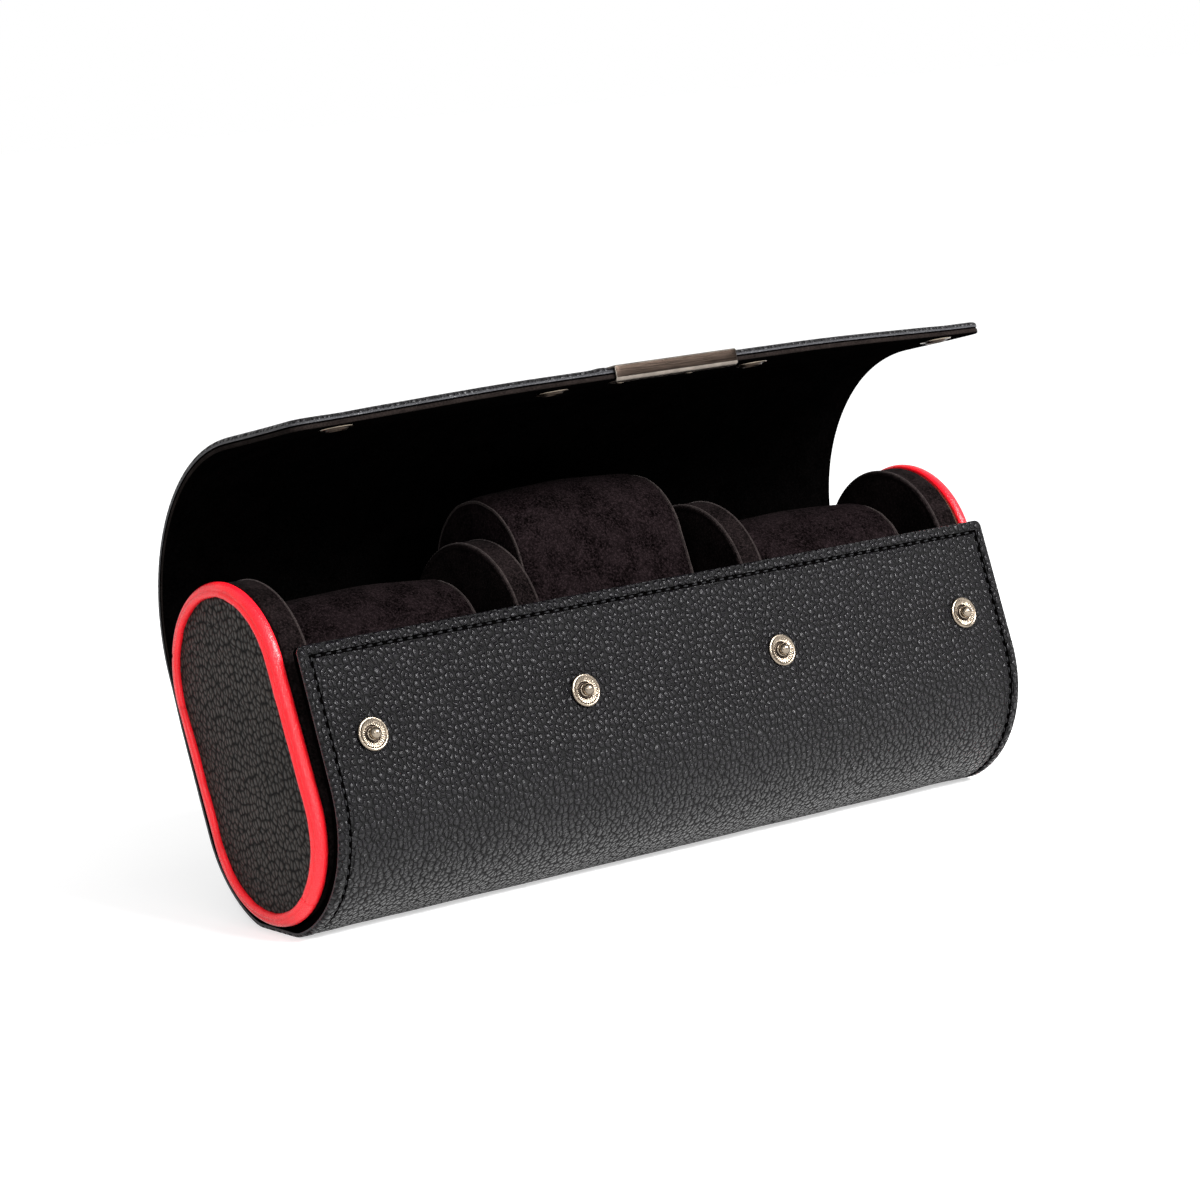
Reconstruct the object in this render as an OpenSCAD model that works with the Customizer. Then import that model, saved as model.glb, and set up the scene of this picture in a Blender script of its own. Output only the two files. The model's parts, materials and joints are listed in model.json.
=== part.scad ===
// Three-bay watch travel roll, shown open: a stiffened leather wrap around two stadium-shaped
// end discs and two dividers, with a roll-over lid that snaps shut on the front panel.
// Body frame: X along the roll, Y towards the back, Z up the long axis of the end discs.
// The whole roll then leans back and rests on a small flat under its rounded bottom.

/* [Wrap] */
// Length of the leather wrap along X
wrap_len = 240; // [228:1:260]
// Outer radius of the rounded bottom
wrap_r = 34.1; // [34.1:0.1:35]
// Height of the bottom arc's centre below the disc centre
wrap_arc_drop = 16.2; // [15.8:0.1:16.4]
// Outer face of the back wall where the lid starts
back_y = 33.5; // [33:0.1:34]
// Height of the front panel's top edge
panel_top = 20.6; // [16:0.2:20.8]
// Outward lean of the front panel, in degrees
panel_lean = 1.94; // [1:0.02:2.5]
// Thickness of the outer leather
leather_t = 1.3; // [1:0.1:1.4]
// Thickness of the stiffening board
board_t = 0.7; // [0.4:0.1:0.8]
// Thickness of the suede lining
lining_t = 1.0; // [0.6:0.1:1]

/* [Stance] */
// Angle at which the open roll leans back, in degrees
lean = 20; // [16:0.5:22]
// How deep the weight flattens the rounded bottom
flat_depth = 1.35; // [0.8:0.05:1.35]

/* [Ends and dividers] */
// Outer radius of the discs' round ends
disc_r = 26.6; // [26:0.1:26.6]
// Half length of the discs' straight sides
disc_half = 19.4; // [18.8:0.1:19.4]
// Outer face of an end disc, from the middle of the roll
disc_out = 122.5; // [121.5:0.5:123]
// Thickness of an end disc
disc_t = 11.3; // [10:0.1:12]
// Thickness of a divider
divider_t = 8; // [6:0.5:10]
// Distance of a divider's centre from the middle
divider_x = 39.5; // [38:0.5:41]
// Thickness of the suede that covers discs and dividers
suede_t = 1.2; // [0.8:0.1:1.4]
// Inner edge of the coloured edge band on a disc's face
band_in_r = 22.8; // [22:0.1:23.4]
// Depth of the band on a disc's side
band_depth = 4.9; // [4:0.1:5.5]

/* [Cushions] */
// Length of a watch cushion along X
cushion_len = 58; // [50:0.5:60]
// Radius of a cushion's round top and bottom
cushion_r = 22; // [20:0.1:22]
// Height of a cushion
cushion_h = 83; // [78:0.2:83.2]
// Top of a seated cushion
cushion_top = 38.2; // [34:0.2:38.4]
// How far the middle cushion is lifted for show
cushion_lift = 20.3; // [0:0.1:20.4]

/* [Lid] */
// Length of the lid along X
lid_len = 237; // [228:1:240]
// Spacing of the bending lines along the lid
strip_len = 14.3; // [14.2:0.1:14.3]
// Outer radius of the open lid
lid_r = 53; // [53:0.1:53.2]
// Height where the open lid starts to curve
lid_arc_z = 27.3; // [27.2:0.1:27.4]
// Droop of the open lid's straight part, in degrees
lid_droop = 8; // [7.8:0.1:8.2]
// Length of the lid from its first bending line to its free edge
lid_total = 140; // [139:0.5:141]
// How far the lid's free edge bows out between its corners
lid_bow = 7; // [3:0.5:7]
// Corner radius of the lid's free edge
lid_corner_r = 4.5; // [3:0.5:6]

/* [Snaps and clip] */
// Spacing of the four snaps along X
snap_pitch = 69.4; // [60:0.2:70]
// Height of the studs on the front panel
stud_z = -5.6; // [-6:0.1:-5]
// Distance of the sockets from the lid's first bending line
socket_s = 129; // [128.6:0.1:129.4]
// Radius of a snap's flange
flange_r = 4.4; // [4:0.1:5]
// Radius of a stud's ball
ball_r = 1.7; // [1.5:0.05:1.75]
// Length of the metal edge clip
clip_len = 42; // [30:1:50]
// Thickness of the clip's sheet
clip_t = 0.8; // [0.5:0.1:0.9]
// Depth of the clip's outer flange
clip_flange = 12; // [10.5:0.5:14]
// Depth of the clip's inner lip
clip_lip = 3.5; // [2:0.5:4.5]

/* [Hidden] */
$fn = 96;
wall_t = leather_t + board_t + lining_t;
straight_z = disc_half;
disc_in = disc_out - disc_t;
lid_lining_t = board_t + lining_t;

// The bending lines are numbered from the back. Each strip turns by this many degrees when the
// lid closes, and the flap at the end folds down by the last value.
closing = [15, 12, 10, 8, 5, 3, 1, 30];
strips = len(closing) - 1;
// Angle cut away beside a bending line so that closed strips stay clear of each other
side_clear = 0.6;
// Gap left between two strips on the outer skin
skin_gap = 0.04;
// Overlap where a straight stretch of a section runs into an arc
seam_lap = 0.02;

// Cushions stand at the left of their bays, as they are photographed
cushion_left_x = -disc_in + 1.6 + cushion_len / 2;
cushion_middle_x = -divider_x + divider_t / 2 + 1 + cushion_len / 2;
cushion_right_x = divider_x + divider_t / 2 + 1 + cushion_len / 2;
cushion_cover_t = 1.2;

snap_xs = [for (i = [-1.5:1:1.5]) i * snap_pitch];
// Height of a stud's flange and of a socket's ring over the leather
flange_h = 0.35;
ring_h = 0.8;
flange_seat = 0.3;
socket_bore_r = 2.05;
socket_cup_r = 2.7;
rivet_r = 1.25;
stud_reach = 2.2;
clip_rivet_x = 12;
clip_rivet_s = 10.5;
clip_rivet_r = 0.8;

black_leather = [0.09, 0.09, 0.10];
black_suede = [0.06, 0.05, 0.055];
red_leather = [0.85, 0.08, 0.10];
grey_board = [0.45, 0.42, 0.38];
white_foam = [0.85, 0.84, 0.80];
nickel = [0.75, 0.72, 0.68];
gunmetal = [0.32, 0.31, 0.31];

// ---- placing -------------------------------------------------------------------------------

// Leans the body frame back and sets the flat under the bottom on the XY plane
module leaned() {
    translate([0, wrap_arc_drop * sin(lean), wrap_arc_drop * cos(lean) + wrap_r - flat_depth])
        rotate([-lean, 0, 0])
            children();
}

// Stands a drawing of the YZ section up and extrudes it from x0 to x1
module along_x(x0, x1) {
    translate([x0, 0, 0])
        rotate([90, 0, 90])
            linear_extrude(x1 - x0)
                children();
}

// Mirrors a right-hand piece for the left end
module at_side(side) {
    if (side > 0)
        children();
    else
        mirror([1, 0, 0])
            children();
}

// ---- section of the wrap ---------------------------------------------------------------------

module stadium(r, half) {
    translate([0, half])
        circle(r);
    translate([0, -half])
        circle(r);
    square([2 * r, 2 * half], center = true);
}

// Everything inside the wrap's outer skin, drawn in by inset, with the bottom flat
module wrap_outline(inset) {
    r = wrap_r - inset;
    intersection() {
        union() {
            translate([0, -wrap_arc_drop])
                circle(r);
            polygon([
                [-r, -wrap_arc_drop],
                [r, -wrap_arc_drop],
                [back_y - inset, straight_z],
                [-r, straight_z]
            ]);
        }
        translate([0, -wrap_arc_drop])
            rotate(lean)
                translate([-wrap_r * 2, -(r - flat_depth)])
                    square([wrap_r * 4, wrap_r * 4]);
    }
}

// One layer of the shell: rounded bottom and back wall, open at the front above the arc. Its top
// edge is cut slanting so that the closing lid stays clear of it.
module shell_layer(from, to) {
    difference() {
        wrap_outline(from);
        wrap_outline(to);
        translate([-wrap_r * 2, -wrap_arc_drop])
            square([wrap_r * 2, wrap_r * 2]);
        beside_bend(1, -1, 1);
    }
}

module shell_leather()
    color(black_leather)
        leaned()
            along_x(-wrap_len / 2, wrap_len / 2)
                shell_layer(0, leather_t);

module shell_board()
    color(grey_board)
        leaned()
            along_x(-wrap_len / 2 + 1, wrap_len / 2 - 1)
                shell_layer(leather_t, leather_t + board_t);

module shell_lining()
    color(black_suede)
        leaned()
            along_x(-wrap_len / 2 + 0.3, wrap_len / 2 - 0.3)
                shell_layer(leather_t + board_t, wall_t);

// Padding between the lining and the discs: a bed along the bottom and a block up the back
// behind each disc and divider, to which they are glued
module pad_section(back_top) {
    bed_top = -24;
    difference() {
        wrap_outline(wall_t);
        stadium(disc_r, disc_half);
        translate([-wrap_r * 2, bed_top])
            square([wrap_r * 2, wrap_r * 3]);
        translate([0, back_top])
            square([wrap_r * 2, wrap_r * 3]);
    }
}

module bed_pad() {
    bed_top = -24;
    block_top = 12;
    pad_end = disc_out - band_depth - 1;
    color(black_suede)
        leaned() {
            along_x(-pad_end, pad_end)
                pad_section(bed_top);
            for (side = [-1, 1])
                at_side(side) {
                    along_x(disc_in, pad_end)
                        pad_section(block_top);
                    along_x(divider_x - divider_t / 2, divider_x + divider_t / 2)
                        pad_section(block_top);
                }
        }
}

// ---- end discs and dividers ------------------------------------------------------------------

// Sweeps a profile round the stadium. The profile's first axis is the radius from the round
// ends' centres, and its second axis is X.
module stadium_sweep(half) {
    rotate([90, 0, 90]) {
        for (end = [0, 1])
            mirror([0, end, 0])
                translate([0, half, 0])
                    rotate_extrude(angle = 180)
                        children();
        for (side = [0, 1])
            mirror([side, 0, 0])
                translate([0, half, 0])
                    rotate([90, 0, 0])
                        linear_extrude(2 * half)
                            children();
    }
}

core_r = disc_r - suede_t;
face_t = 1.1;
face_back = disc_out - face_t - 0.5;
welt_r = 0.5;

module end_core(side)
    color(grey_board)
        leaned()
            at_side(side)
                along_x(disc_in + suede_t, face_back)
                    stadium(core_r, disc_half);

// Raised welt sewn round the rim, on the flat face at x
module rim_welt(x)
    stadium_sweep(disc_half)
        translate([disc_r - 0.8, x])
            circle(welt_r, $fn = 32);

module end_suede(side)
    color(black_suede)
        leaned()
            at_side(side) {
                along_x(disc_in, disc_in + suede_t)
                    stadium(disc_r, disc_half);
                along_x(disc_in, disc_out - band_depth)
                    difference() {
                        stadium(disc_r, disc_half);
                        stadium(core_r, disc_half);
                    }
                rim_welt(disc_in);
            }

module end_face(side)
    color(black_leather)
        leaned()
            at_side(side)
                along_x(face_back, disc_out - 0.5)
                    stadium(band_in_r - 0.1, disc_half);

// The band has a crowned strip on the face, a crowned strip on the side and a crease between
module band_profile() {
    side_from = disc_out - band_depth;
    crease_x = disc_out - 0.7;
    crease_r = disc_r - 0.2;
    side_crown_r = 3.6;
    face_crown_r = 5;
    translate([core_r, side_from])
        square([crease_r - core_r, crease_x - side_from]);
    translate([band_in_r, face_back])
        square([crease_r - band_in_r, crease_x - face_back]);
    intersection() {
        translate([disc_r + 0.1 - side_crown_r, (side_from + crease_x) / 2])
            circle(side_crown_r);
        translate([core_r, side_from])
            square([3, crease_x - side_from]);
    }
    intersection() {
        translate([(band_in_r + crease_r) / 2, disc_out + 0.1 - face_crown_r])
            circle(face_crown_r);
        translate([band_in_r, face_back])
            square([crease_r - band_in_r, 3]);
    }
}

module end_band(side)
    color(red_leather)
        leaned()
            at_side(side)
                stadium_sweep(disc_half)
                    band_profile();

module divider_core(side)
    color(grey_board)
        leaned()
            at_side(side)
                along_x(divider_x - divider_t / 2 + suede_t, divider_x + divider_t / 2 - suede_t)
                    stadium(core_r, disc_half);

module divider_suede(side)
    color(black_suede)
        leaned()
            at_side(side) {
                for (face = [-1, 1]) {
                    inner = divider_x + face * (divider_t / 2 - suede_t);
                    outer = divider_x + face * divider_t / 2;
                    along_x(min(inner, outer), max(inner, outer))
                        stadium(disc_r, disc_half);
                    rim_welt(outer);
                }
                along_x(divider_x - divider_t / 2, divider_x + divider_t / 2)
                    difference() {
                        stadium(disc_r, disc_half);
                        stadium(core_r, disc_half);
                    }
            }

// ---- cushions --------------------------------------------------------------------------------

// Points of one ring of a cushion: a stadium of radius r at x
section_steps = 16;
function half_ring(r, half, up) =
    [for (i = [0:section_steps - 1])
        let (a = 180 * i / (section_steps - 1) + (up ? 0 : 180))
            [r * cos(a), (up ? half : -half) + r * sin(a)]];
function ring(x, r, half) =
    [for (p = concat(half_ring(r, half, true), half_ring(r, half, false))) [x, p[0], p[1]]];

// Rings from the middle to one end: distance from the end as a share or in mm, and draw-in.
// The cover crowns at the middle, draws in before its end seam and domes over the end.
function cushion_rings(len, r, half) =
    let (
        crown = 0.6,
        right = [
            [0, -crown],
            [len / 2 - 14, -crown * 0.6],
            [len / 2 - 5, 0.15],
            [len / 2 - 2, 0.5],
            [len / 2 - 0.6, 1.6],
            [len / 2, 3.6]
        ],
        n = len(right)
    )
    concat(
        [for (i = [n - 1:-1:1]) ring(-right[i][0], r - right[i][1], half)],
        [for (i = [0:n - 1]) ring(right[i][0], r - right[i][1], half)]
    );

module loft(rings) {
    n = len(rings[0]);
    count = len(rings);
    points = [for (ring_points = rings) for (p = ring_points) p];
    sides = [
        for (k = [0:count - 2])
            for (i = [0:n - 1])
                let (a = k * n + i, b = k * n + (i + 1) % n)
                    each [[a, a + n, b], [b, a + n, b + n]]
    ];
    caps = [[for (i = [0:n - 1]) i], [for (i = [n - 1:-1:0]) (count - 1) * n + i]];
    polyhedron(points, concat(sides, caps));
}

module cushion_body(shrink) {
    r = cushion_r - shrink;
    half = cushion_h / 2 - cushion_r;
    loft(cushion_rings(cushion_len - 2 * shrink, r, half));
}

module cushion_at(x, lift)
    leaned()
        translate([x, 0, cushion_top - cushion_h / 2 + lift])
            children();

module cushion_cover(x, lift)
    color(black_suede)
        cushion_at(x, lift)
            difference() {
                cushion_body(0);
                cushion_body(cushion_cover_t);
            }

module cushion_core(x, lift)
    color(white_foam)
        cushion_at(x, lift)
            cushion_body(cushion_cover_t);

// ---- front panel and studs -------------------------------------------------------------------

// The panel's own frame: origin at its bending line on the outer skin, Y inwards, Z up the panel
module panel_frame()
    leaned()
        translate([0, -wrap_r, -wrap_arc_drop])
            rotate([panel_lean, 0, 0])
                children();

panel_h = (panel_top + wrap_arc_drop) / cos(panel_lean);
stud_h = (stud_z + wrap_arc_drop) / cos(panel_lean);
bend_gap = 0.1;
panel_corner_r = 2;

// One layer of the panel from depth y0 to y1, with its two top corners rounded
module panel_layer(y0, y1, inset) {
    w = wrap_len / 2 - inset;
    h = panel_h - inset;
    translate([0, y1, 0])
        rotate([90, 0, 0])
            linear_extrude(y1 - y0) {
                translate([-w, bend_gap])
                    square([2 * w, h - panel_corner_r - bend_gap]);
                translate([-w + panel_corner_r, bend_gap])
                    square([2 * (w - panel_corner_r), h - bend_gap]);
                for (side = [-1, 1])
                    translate([side * (w - panel_corner_r), h - panel_corner_r])
                        circle(panel_corner_r);
            }
}

// Lies a revolved piece on the panel's outer face at x, its axis pointing outwards
module at_stud(x)
    translate([x, 0, stud_h])
        rotate([90, 0, 0])
            children();

module stud_holes(r)
    for (x = snap_xs)
        at_stud(x)
            translate([0, 0, -wall_t - 1])
                cylinder(r = r, h = wall_t + 2);

module panel_leather()
    color(black_leather)
        panel_frame()
            difference() {
                panel_layer(0, leather_t, 0);
                stud_holes(rivet_r);
                for (x = snap_xs)
                    at_stud(x)
                        translate([0, 0, -flange_seat])
                            cylinder(r = flange_r, h = 1);
            }

module panel_board()
    color(grey_board)
        panel_frame()
            difference() {
                panel_layer(leather_t, leather_t + board_t, 1);
                stud_holes(rivet_r);
            }

module panel_lining()
    color(black_suede)
        panel_frame()
            panel_layer(leather_t + board_t, wall_t, 0.3);

// Stud: a dished flange, a waisted post and a ball
module snap_stud() {
    waist_r = 1.25;
    rotate_extrude()
        polygon([
            [0, -flange_seat],
            [flange_r, -flange_seat],
            [flange_r, flange_h - 0.1],
            [flange_r - 0.4, flange_h],
            [flange_r - 1.1, flange_h],
            [flange_r - 1.7, flange_h - 0.15],
            [waist_r + 0.6, flange_h - 0.15],
            [waist_r, flange_h + 0.25],
            [waist_r, stud_reach - ball_r],
            [0, stud_reach - ball_r]
        ]);
    intersection() {
        translate([0, 0, stud_reach - ball_r])
            sphere(ball_r);
        cylinder(r = ball_r + 1, h = stud_reach + 1);
    }
}

module snap_studs()
    color(nickel)
        panel_frame()
            for (x = snap_xs)
                at_stud(x)
                    snap_stud();

// Rivet: the shank that holds the stud through the leather, spread on the board
module stud_rivets()
    color(nickel)
        panel_frame()
            for (x = snap_xs)
                at_stud(x)
                    translate([0, 0, -leather_t - board_t])
                        cylinder(r = rivet_r, h = leather_t + board_t - flange_seat);

// ---- lid -------------------------------------------------------------------------------------

// The open lid's outer skin runs up the back wall, round an arc and on in a straight line
arc_centre = [back_y - lid_r, lid_arc_z];
arc_start_s = lid_arc_z - straight_z;
arc_turn = 90 + lid_droop;
arc_len = lid_r * arc_turn * PI / 180;
function arc_point(a, r) = arc_centre + r * [cos(a), sin(a)];
function skin_angle(s) = 90 + min(max(s - arc_start_s, 0) / arc_len, 1) * arc_turn;
function skin_point(s) =
    s < arc_start_s ? [back_y, straight_z + s] :
    s < arc_start_s + arc_len ? arc_point(skin_angle(s) - 90, lid_r) :
    arc_point(arc_turn, lid_r)
        + (s - arc_start_s - arc_len) * [cos(90 + arc_turn), sin(90 + arc_turn)];
function bend_s(k) = (k - 1) * strip_len;

// Section of the lid between depths d0 and d1 under its outer skin
module lid_section(d0, d1) {
    translate([back_y - d1, straight_z])
        square([d1 - d0, arc_start_s]);
    intersection() {
        translate(arc_centre)
            difference() {
                circle(lid_r - d0);
                circle(lid_r - d1);
            }
        translate(arc_centre)
            polygon([
                [0, 0],
                lid_r * 2 * [1, 0],
                lid_r * 2 * [1, 1],
                lid_r * 2 * [-1, 1],
                lid_r * 2 * [cos(arc_turn), sin(arc_turn)]
            ]);
    }
    translate(arc_point(arc_turn, lid_r))
        rotate(90 + arc_turn)
            translate([-seam_lap, d0])
                square([lid_total, d1 - d0]);
}

// Region along bending line k. One edge is the slanting face after the line (face 1) or before it
// (face -1), and the region reaches from there forwards (side 1) or backwards (side -1).
module beside_bend(k, face, side) {
    reach = 20;
    cut = closing[k - 1] / 2 + side_clear;
    translate(skin_point(bend_s(k)))
        rotate(skin_angle(bend_s(k)))
            polygon([
                [face * skin_gap / 2, -1],
                [face * skin_gap / 2, 0],
                [face * (skin_gap / 2 + reach * tan(cut)), reach],
                [side * reach, reach],
                [side * reach, -1]
            ]);
}

// Strip k of the lid, between bending lines k and k + 1
module lid_strip(k, d0, d1)
    leaned()
        along_x(-lid_len / 2, lid_len / 2)
            intersection() {
                lid_section(d0, d1);
                beside_bend(k, 1, 1);
                beside_bend(k + 1, -1, -1);
            }

module lid_leather(k)
    color(black_leather)
        lid_strip(k, 0, leather_t);

module lid_lining(k)
    color(black_suede)
        lid_strip(k, leather_t, leather_t + lid_lining_t);

// The flap's own frame: origin at its bending line on the outer skin, Y along the flap towards
// the free edge, Z inwards
flap_s = bend_s(strips + 1);
flap_len = lid_total - flap_s;
module flap_frame()
    leaned()
        translate([0, skin_point(flap_s)[0], skin_point(flap_s)[1]])
            rotate([skin_angle(flap_s), 0, 0])
                children();

// Outline of the flap, drawn from above its outer skin: a bowed free edge between round corners
module flap_outline() {
    w = lid_len / 2 - lid_corner_r;
    bow_r = lid_len * lid_len / (8 * lid_bow) + lid_bow / 2;
    bow_y = flap_len - bow_r;
    corner = [w, sqrt(pow(bow_r - lid_corner_r, 2) - w * w)];
    translate([-lid_len / 2, 0])
        square([lid_len, bow_y + corner[1]]);
    intersection() {
        translate([0, bow_y])
            circle(bow_r, $fn = 1440);
        translate([0, bow_y])
            polygon([[0, 0], 1.1 * corner, 1.1 * [-corner[0], corner[1]]]);
        translate([-lid_len / 2, 0])
            square([lid_len, flap_len + 1]);
    }
    for (side = [-1, 1])
        translate([side * w, bow_y + corner[1]])
            circle(lid_corner_r);
}

// One layer of the flap, with its bending side cut to the closing angle
module flap_layer(d0, d1) {
    cut = closing[strips] / 2 + side_clear;
    difference() {
        translate([0, 0, d0])
            linear_extrude(d1 - d0)
                flap_outline();
        along_x(-lid_len, lid_len)
            polygon([[-1, -1], [skin_gap / 2, -1], [skin_gap / 2, 0], [skin_gap / 2 + 9 * tan(cut), 9], [-1, 9]]);
        for (x = [-clip_rivet_x, clip_rivet_x])
            translate([x, flap_len - clip_rivet_s, -1])
                cylinder(r = clip_rivet_r, h = wall_t + 2);
    }
}

// Puts a socket on the flap at x, its axis pointing inwards from the lining's face
module at_socket(x)
    translate([x, socket_s - flap_s, wall_t])
        children();

module flap_leather()
    color(black_leather)
        flap_frame()
            flap_layer(0, leather_t);

module flap_lining()
    color(black_suede)
        flap_frame()
            difference() {
                flap_layer(leather_t, wall_t);
                for (x = snap_xs)
                    at_socket(x)
                        translate([0, 0, -lid_lining_t])
                            cylinder(r = socket_cup_r, h = wall_t);
            }

// Socket: a cup sunk in the lining, a flange on its face and a raised ring round the bore
module snap_socket() {
    cup = lid_lining_t;
    floor_t = 0.25;
    rotate_extrude()
        polygon([
            [0, -cup],
            [socket_cup_r, -cup],
            [socket_cup_r, 0],
            [flange_r, 0],
            [flange_r, 0.2],
            [flange_r - 0.3, 0.35],
            [flange_r - 1, 0.35],
            [socket_cup_r + 0.4, ring_h - 0.15],
            [socket_cup_r + 0.1, ring_h],
            [socket_bore_r + 0.2, ring_h],
            [socket_bore_r, ring_h - 0.2],
            [socket_bore_r, -cup + floor_t],
            [0, -cup + floor_t]
        ]);
}

module snap_sockets()
    color(nickel)
        flap_frame()
            for (x = snap_xs)
                at_socket(x)
                    snap_socket();

// Channel folded over the free edge: a deep flange outside, a web and a short lip inside
module clip_section() {
    r = 0.6;
    edge = flap_len;
    outer = edge + clip_t;
    difference() {
        union() {
            translate([edge - clip_flange, -clip_t])
                square([clip_flange + clip_t - r, wall_t + 2 * clip_t]);
            translate([edge - clip_flange, -clip_t + r])
                square([clip_flange + clip_t, wall_t + 2 * (clip_t - r)]);
            translate([outer - r, -clip_t + r])
                circle(r);
            translate([outer - r, wall_t + clip_t - r])
                circle(r);
        }
        translate([edge - clip_flange - 1, 0])
            square([clip_flange + 1, wall_t]);
        translate([edge - clip_flange - 1, wall_t - 0.5])
            square([clip_flange + 1 - clip_lip, wall_t]);
    }
}

module edge_clip()
    color(gunmetal)
        flap_frame()
            difference() {
                along_x(-clip_len / 2, clip_len / 2)
                    clip_section();
                for (x = [-clip_rivet_x, clip_rivet_x])
                    translate([x, flap_len - clip_rivet_s, -clip_t - 1])
                        cylinder(r = clip_rivet_r, h = clip_t + 2);
            }

// Rivets that hold the clip's flange: flush outside, a low round head on the lining
module clip_rivets() {
    head_r = 1.3;
    head_h = 0.45;
    color(nickel)
        flap_frame()
            for (x = [-clip_rivet_x, clip_rivet_x])
                translate([x, flap_len - clip_rivet_s, 0]) {
                    translate([0, 0, -clip_t])
                        cylinder(r = clip_rivet_r, h = clip_t + wall_t);
                    translate([0, 0, wall_t])
                        cylinder(r = head_r, h = head_h);
                }
}

// ---- nodes -----------------------------------------------------------------------------------

shell_leather();
shell_board();
shell_lining();
bed_pad();
end_core(-1);  // end_core_left
end_suede(-1);  // end_suede_left
end_face(-1);  // end_face_left
end_band(-1);  // end_band_left
end_core(1);  // end_core_right
end_suede(1);  // end_suede_right
end_face(1);  // end_face_right
end_band(1);  // end_band_right
divider_core(-1);  // divider_core_left
divider_suede(-1);  // divider_suede_left
divider_core(1);  // divider_core_right
divider_suede(1);  // divider_suede_right
cushion_core(cushion_left_x, 0);  // cushion_core_left
cushion_cover(cushion_left_x, 0);  // cushion_cover_left
cushion_core(cushion_middle_x, cushion_lift);  // cushion_core_middle
cushion_cover(cushion_middle_x, cushion_lift);  // cushion_cover_middle
cushion_core(cushion_right_x, 0);  // cushion_core_right
cushion_cover(cushion_right_x, 0);  // cushion_cover_right
panel_leather();
panel_board();
panel_lining();
snap_studs();
stud_rivets();
lid_leather(1);  // lid_leather_1
lid_leather(2);  // lid_leather_2
lid_leather(3);  // lid_leather_3
lid_leather(4);  // lid_leather_4
lid_leather(5);  // lid_leather_5
lid_leather(6);  // lid_leather_6
lid_leather(7);  // lid_leather_7
lid_lining(1);  // lid_lining_1
lid_lining(2);  // lid_lining_2
lid_lining(3);  // lid_lining_3
lid_lining(4);  // lid_lining_4
lid_lining(5);  // lid_lining_5
lid_lining(6);  // lid_lining_6
lid_lining(7);  // lid_lining_7
flap_leather();
flap_lining();
snap_sockets();
edge_clip();
clip_rivets();
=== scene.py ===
"""Watch travel roll with its lid open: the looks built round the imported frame."""

import json
import math

import bmesh
import bpy
import numpy as np
from mathutils import Matrix, Vector


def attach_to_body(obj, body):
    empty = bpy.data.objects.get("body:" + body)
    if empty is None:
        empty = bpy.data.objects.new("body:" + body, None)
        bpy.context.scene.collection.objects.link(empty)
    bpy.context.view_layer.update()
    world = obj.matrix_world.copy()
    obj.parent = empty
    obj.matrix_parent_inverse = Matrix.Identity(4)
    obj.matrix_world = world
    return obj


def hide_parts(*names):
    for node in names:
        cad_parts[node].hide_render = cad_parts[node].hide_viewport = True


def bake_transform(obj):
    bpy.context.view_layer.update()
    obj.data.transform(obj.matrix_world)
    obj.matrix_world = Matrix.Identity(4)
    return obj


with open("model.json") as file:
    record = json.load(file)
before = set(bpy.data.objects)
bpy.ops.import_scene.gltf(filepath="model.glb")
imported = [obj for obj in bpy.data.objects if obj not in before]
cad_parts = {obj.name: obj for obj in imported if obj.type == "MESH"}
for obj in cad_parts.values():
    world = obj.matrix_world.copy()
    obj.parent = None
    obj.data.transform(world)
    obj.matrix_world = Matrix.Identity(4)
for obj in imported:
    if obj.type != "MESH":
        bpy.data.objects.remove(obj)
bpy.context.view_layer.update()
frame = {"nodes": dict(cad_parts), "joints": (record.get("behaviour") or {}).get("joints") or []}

MM = 0.001

# ---- sizes in millimetres, in the roll's own frame ------------------------------------------
# X along the roll, Y towards the back wall, Z up the long axis of the end discs.

WRAP_HALF = 120.0        # half length of the wrap
LID_HALF = 119.6         # half length of the lid
WRAP_R = 34.1            # outer radius of the rounded bottom
ARC_DROP = 16.2          # the bottom arc's centre lies this far below the disc centre
FLAT_DEPTH = 1.35        # how deep the weight flattens the bottom
BACK_Y = 33.5            # outer face of the back wall where the lid starts
LID_START_Z = 19.4       # height of the lid's first bending line
PANEL_TOP = 20.6
PANEL_LEAN = math.radians(1.94)
LID_R = 53.0
LID_ARC_Z = 27.3
LID_TURN = math.radians(98)
LID_TOTAL = 140.0        # from the first bending line to the free edge
LID_BOW = 7.0            # how far the free edge bows out between its corners
LID_CORNER_R = 4.5
PANEL_CORNER_R = 2.0
STRIP = 14.3             # spacing of the bending lines
STRIPS = 7
WALL_T = 3.0

DISC_R = 26.6
DISC_HALF = 19.4
DISC_OUT = 122.5
DISC_T = 11.3
DIVIDER_X = 39.5
DIVIDER_T = 8.0
BAND_IN_R = 23.6
BAND_DEPTH = 3.5
BAND_PROUD = 0.75        # how far the band stands out past the end of the roll

CUSHION_LEN = 58.0
CUSHION_R = 22.0
CUSHION_H = 83.0
CUSHION_TOP = 38.2
CUSHION_LIFT = 20.3      # the middle cushion is shown lifted

SNAP_PITCH = 69.4
STUD_Z = -5.6
SOCKET_S = 129.0
CLIP_HALF = 21.0
CLIP_T = 0.8
CLIP_FLANGE = 12.0
CLIP_LIP = 3.5
CLIP_RIVET_X = 12.0
CLIP_RIVET_S = 10.5

STITCH_E = 3.3           # distance of the stitch line from an edge
STITCH_PITCH = 3.2
STITCH_HALF = 1.0        # half the length of a stitch
STITCH_R = 0.30
STITCH_RISE = 0.20       # how far its middle stands above the groove's bottom
STITCH_DIP = 0.45        # how much deeper its ends go than its middle

SECTION_STEP = 0.25      # spacing of the points along the skin's section
SECTION_BLUR = 1.2       # how far the section's corners are rounded off
PAST_TIP = 6             # the section runs on past the free edge

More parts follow.
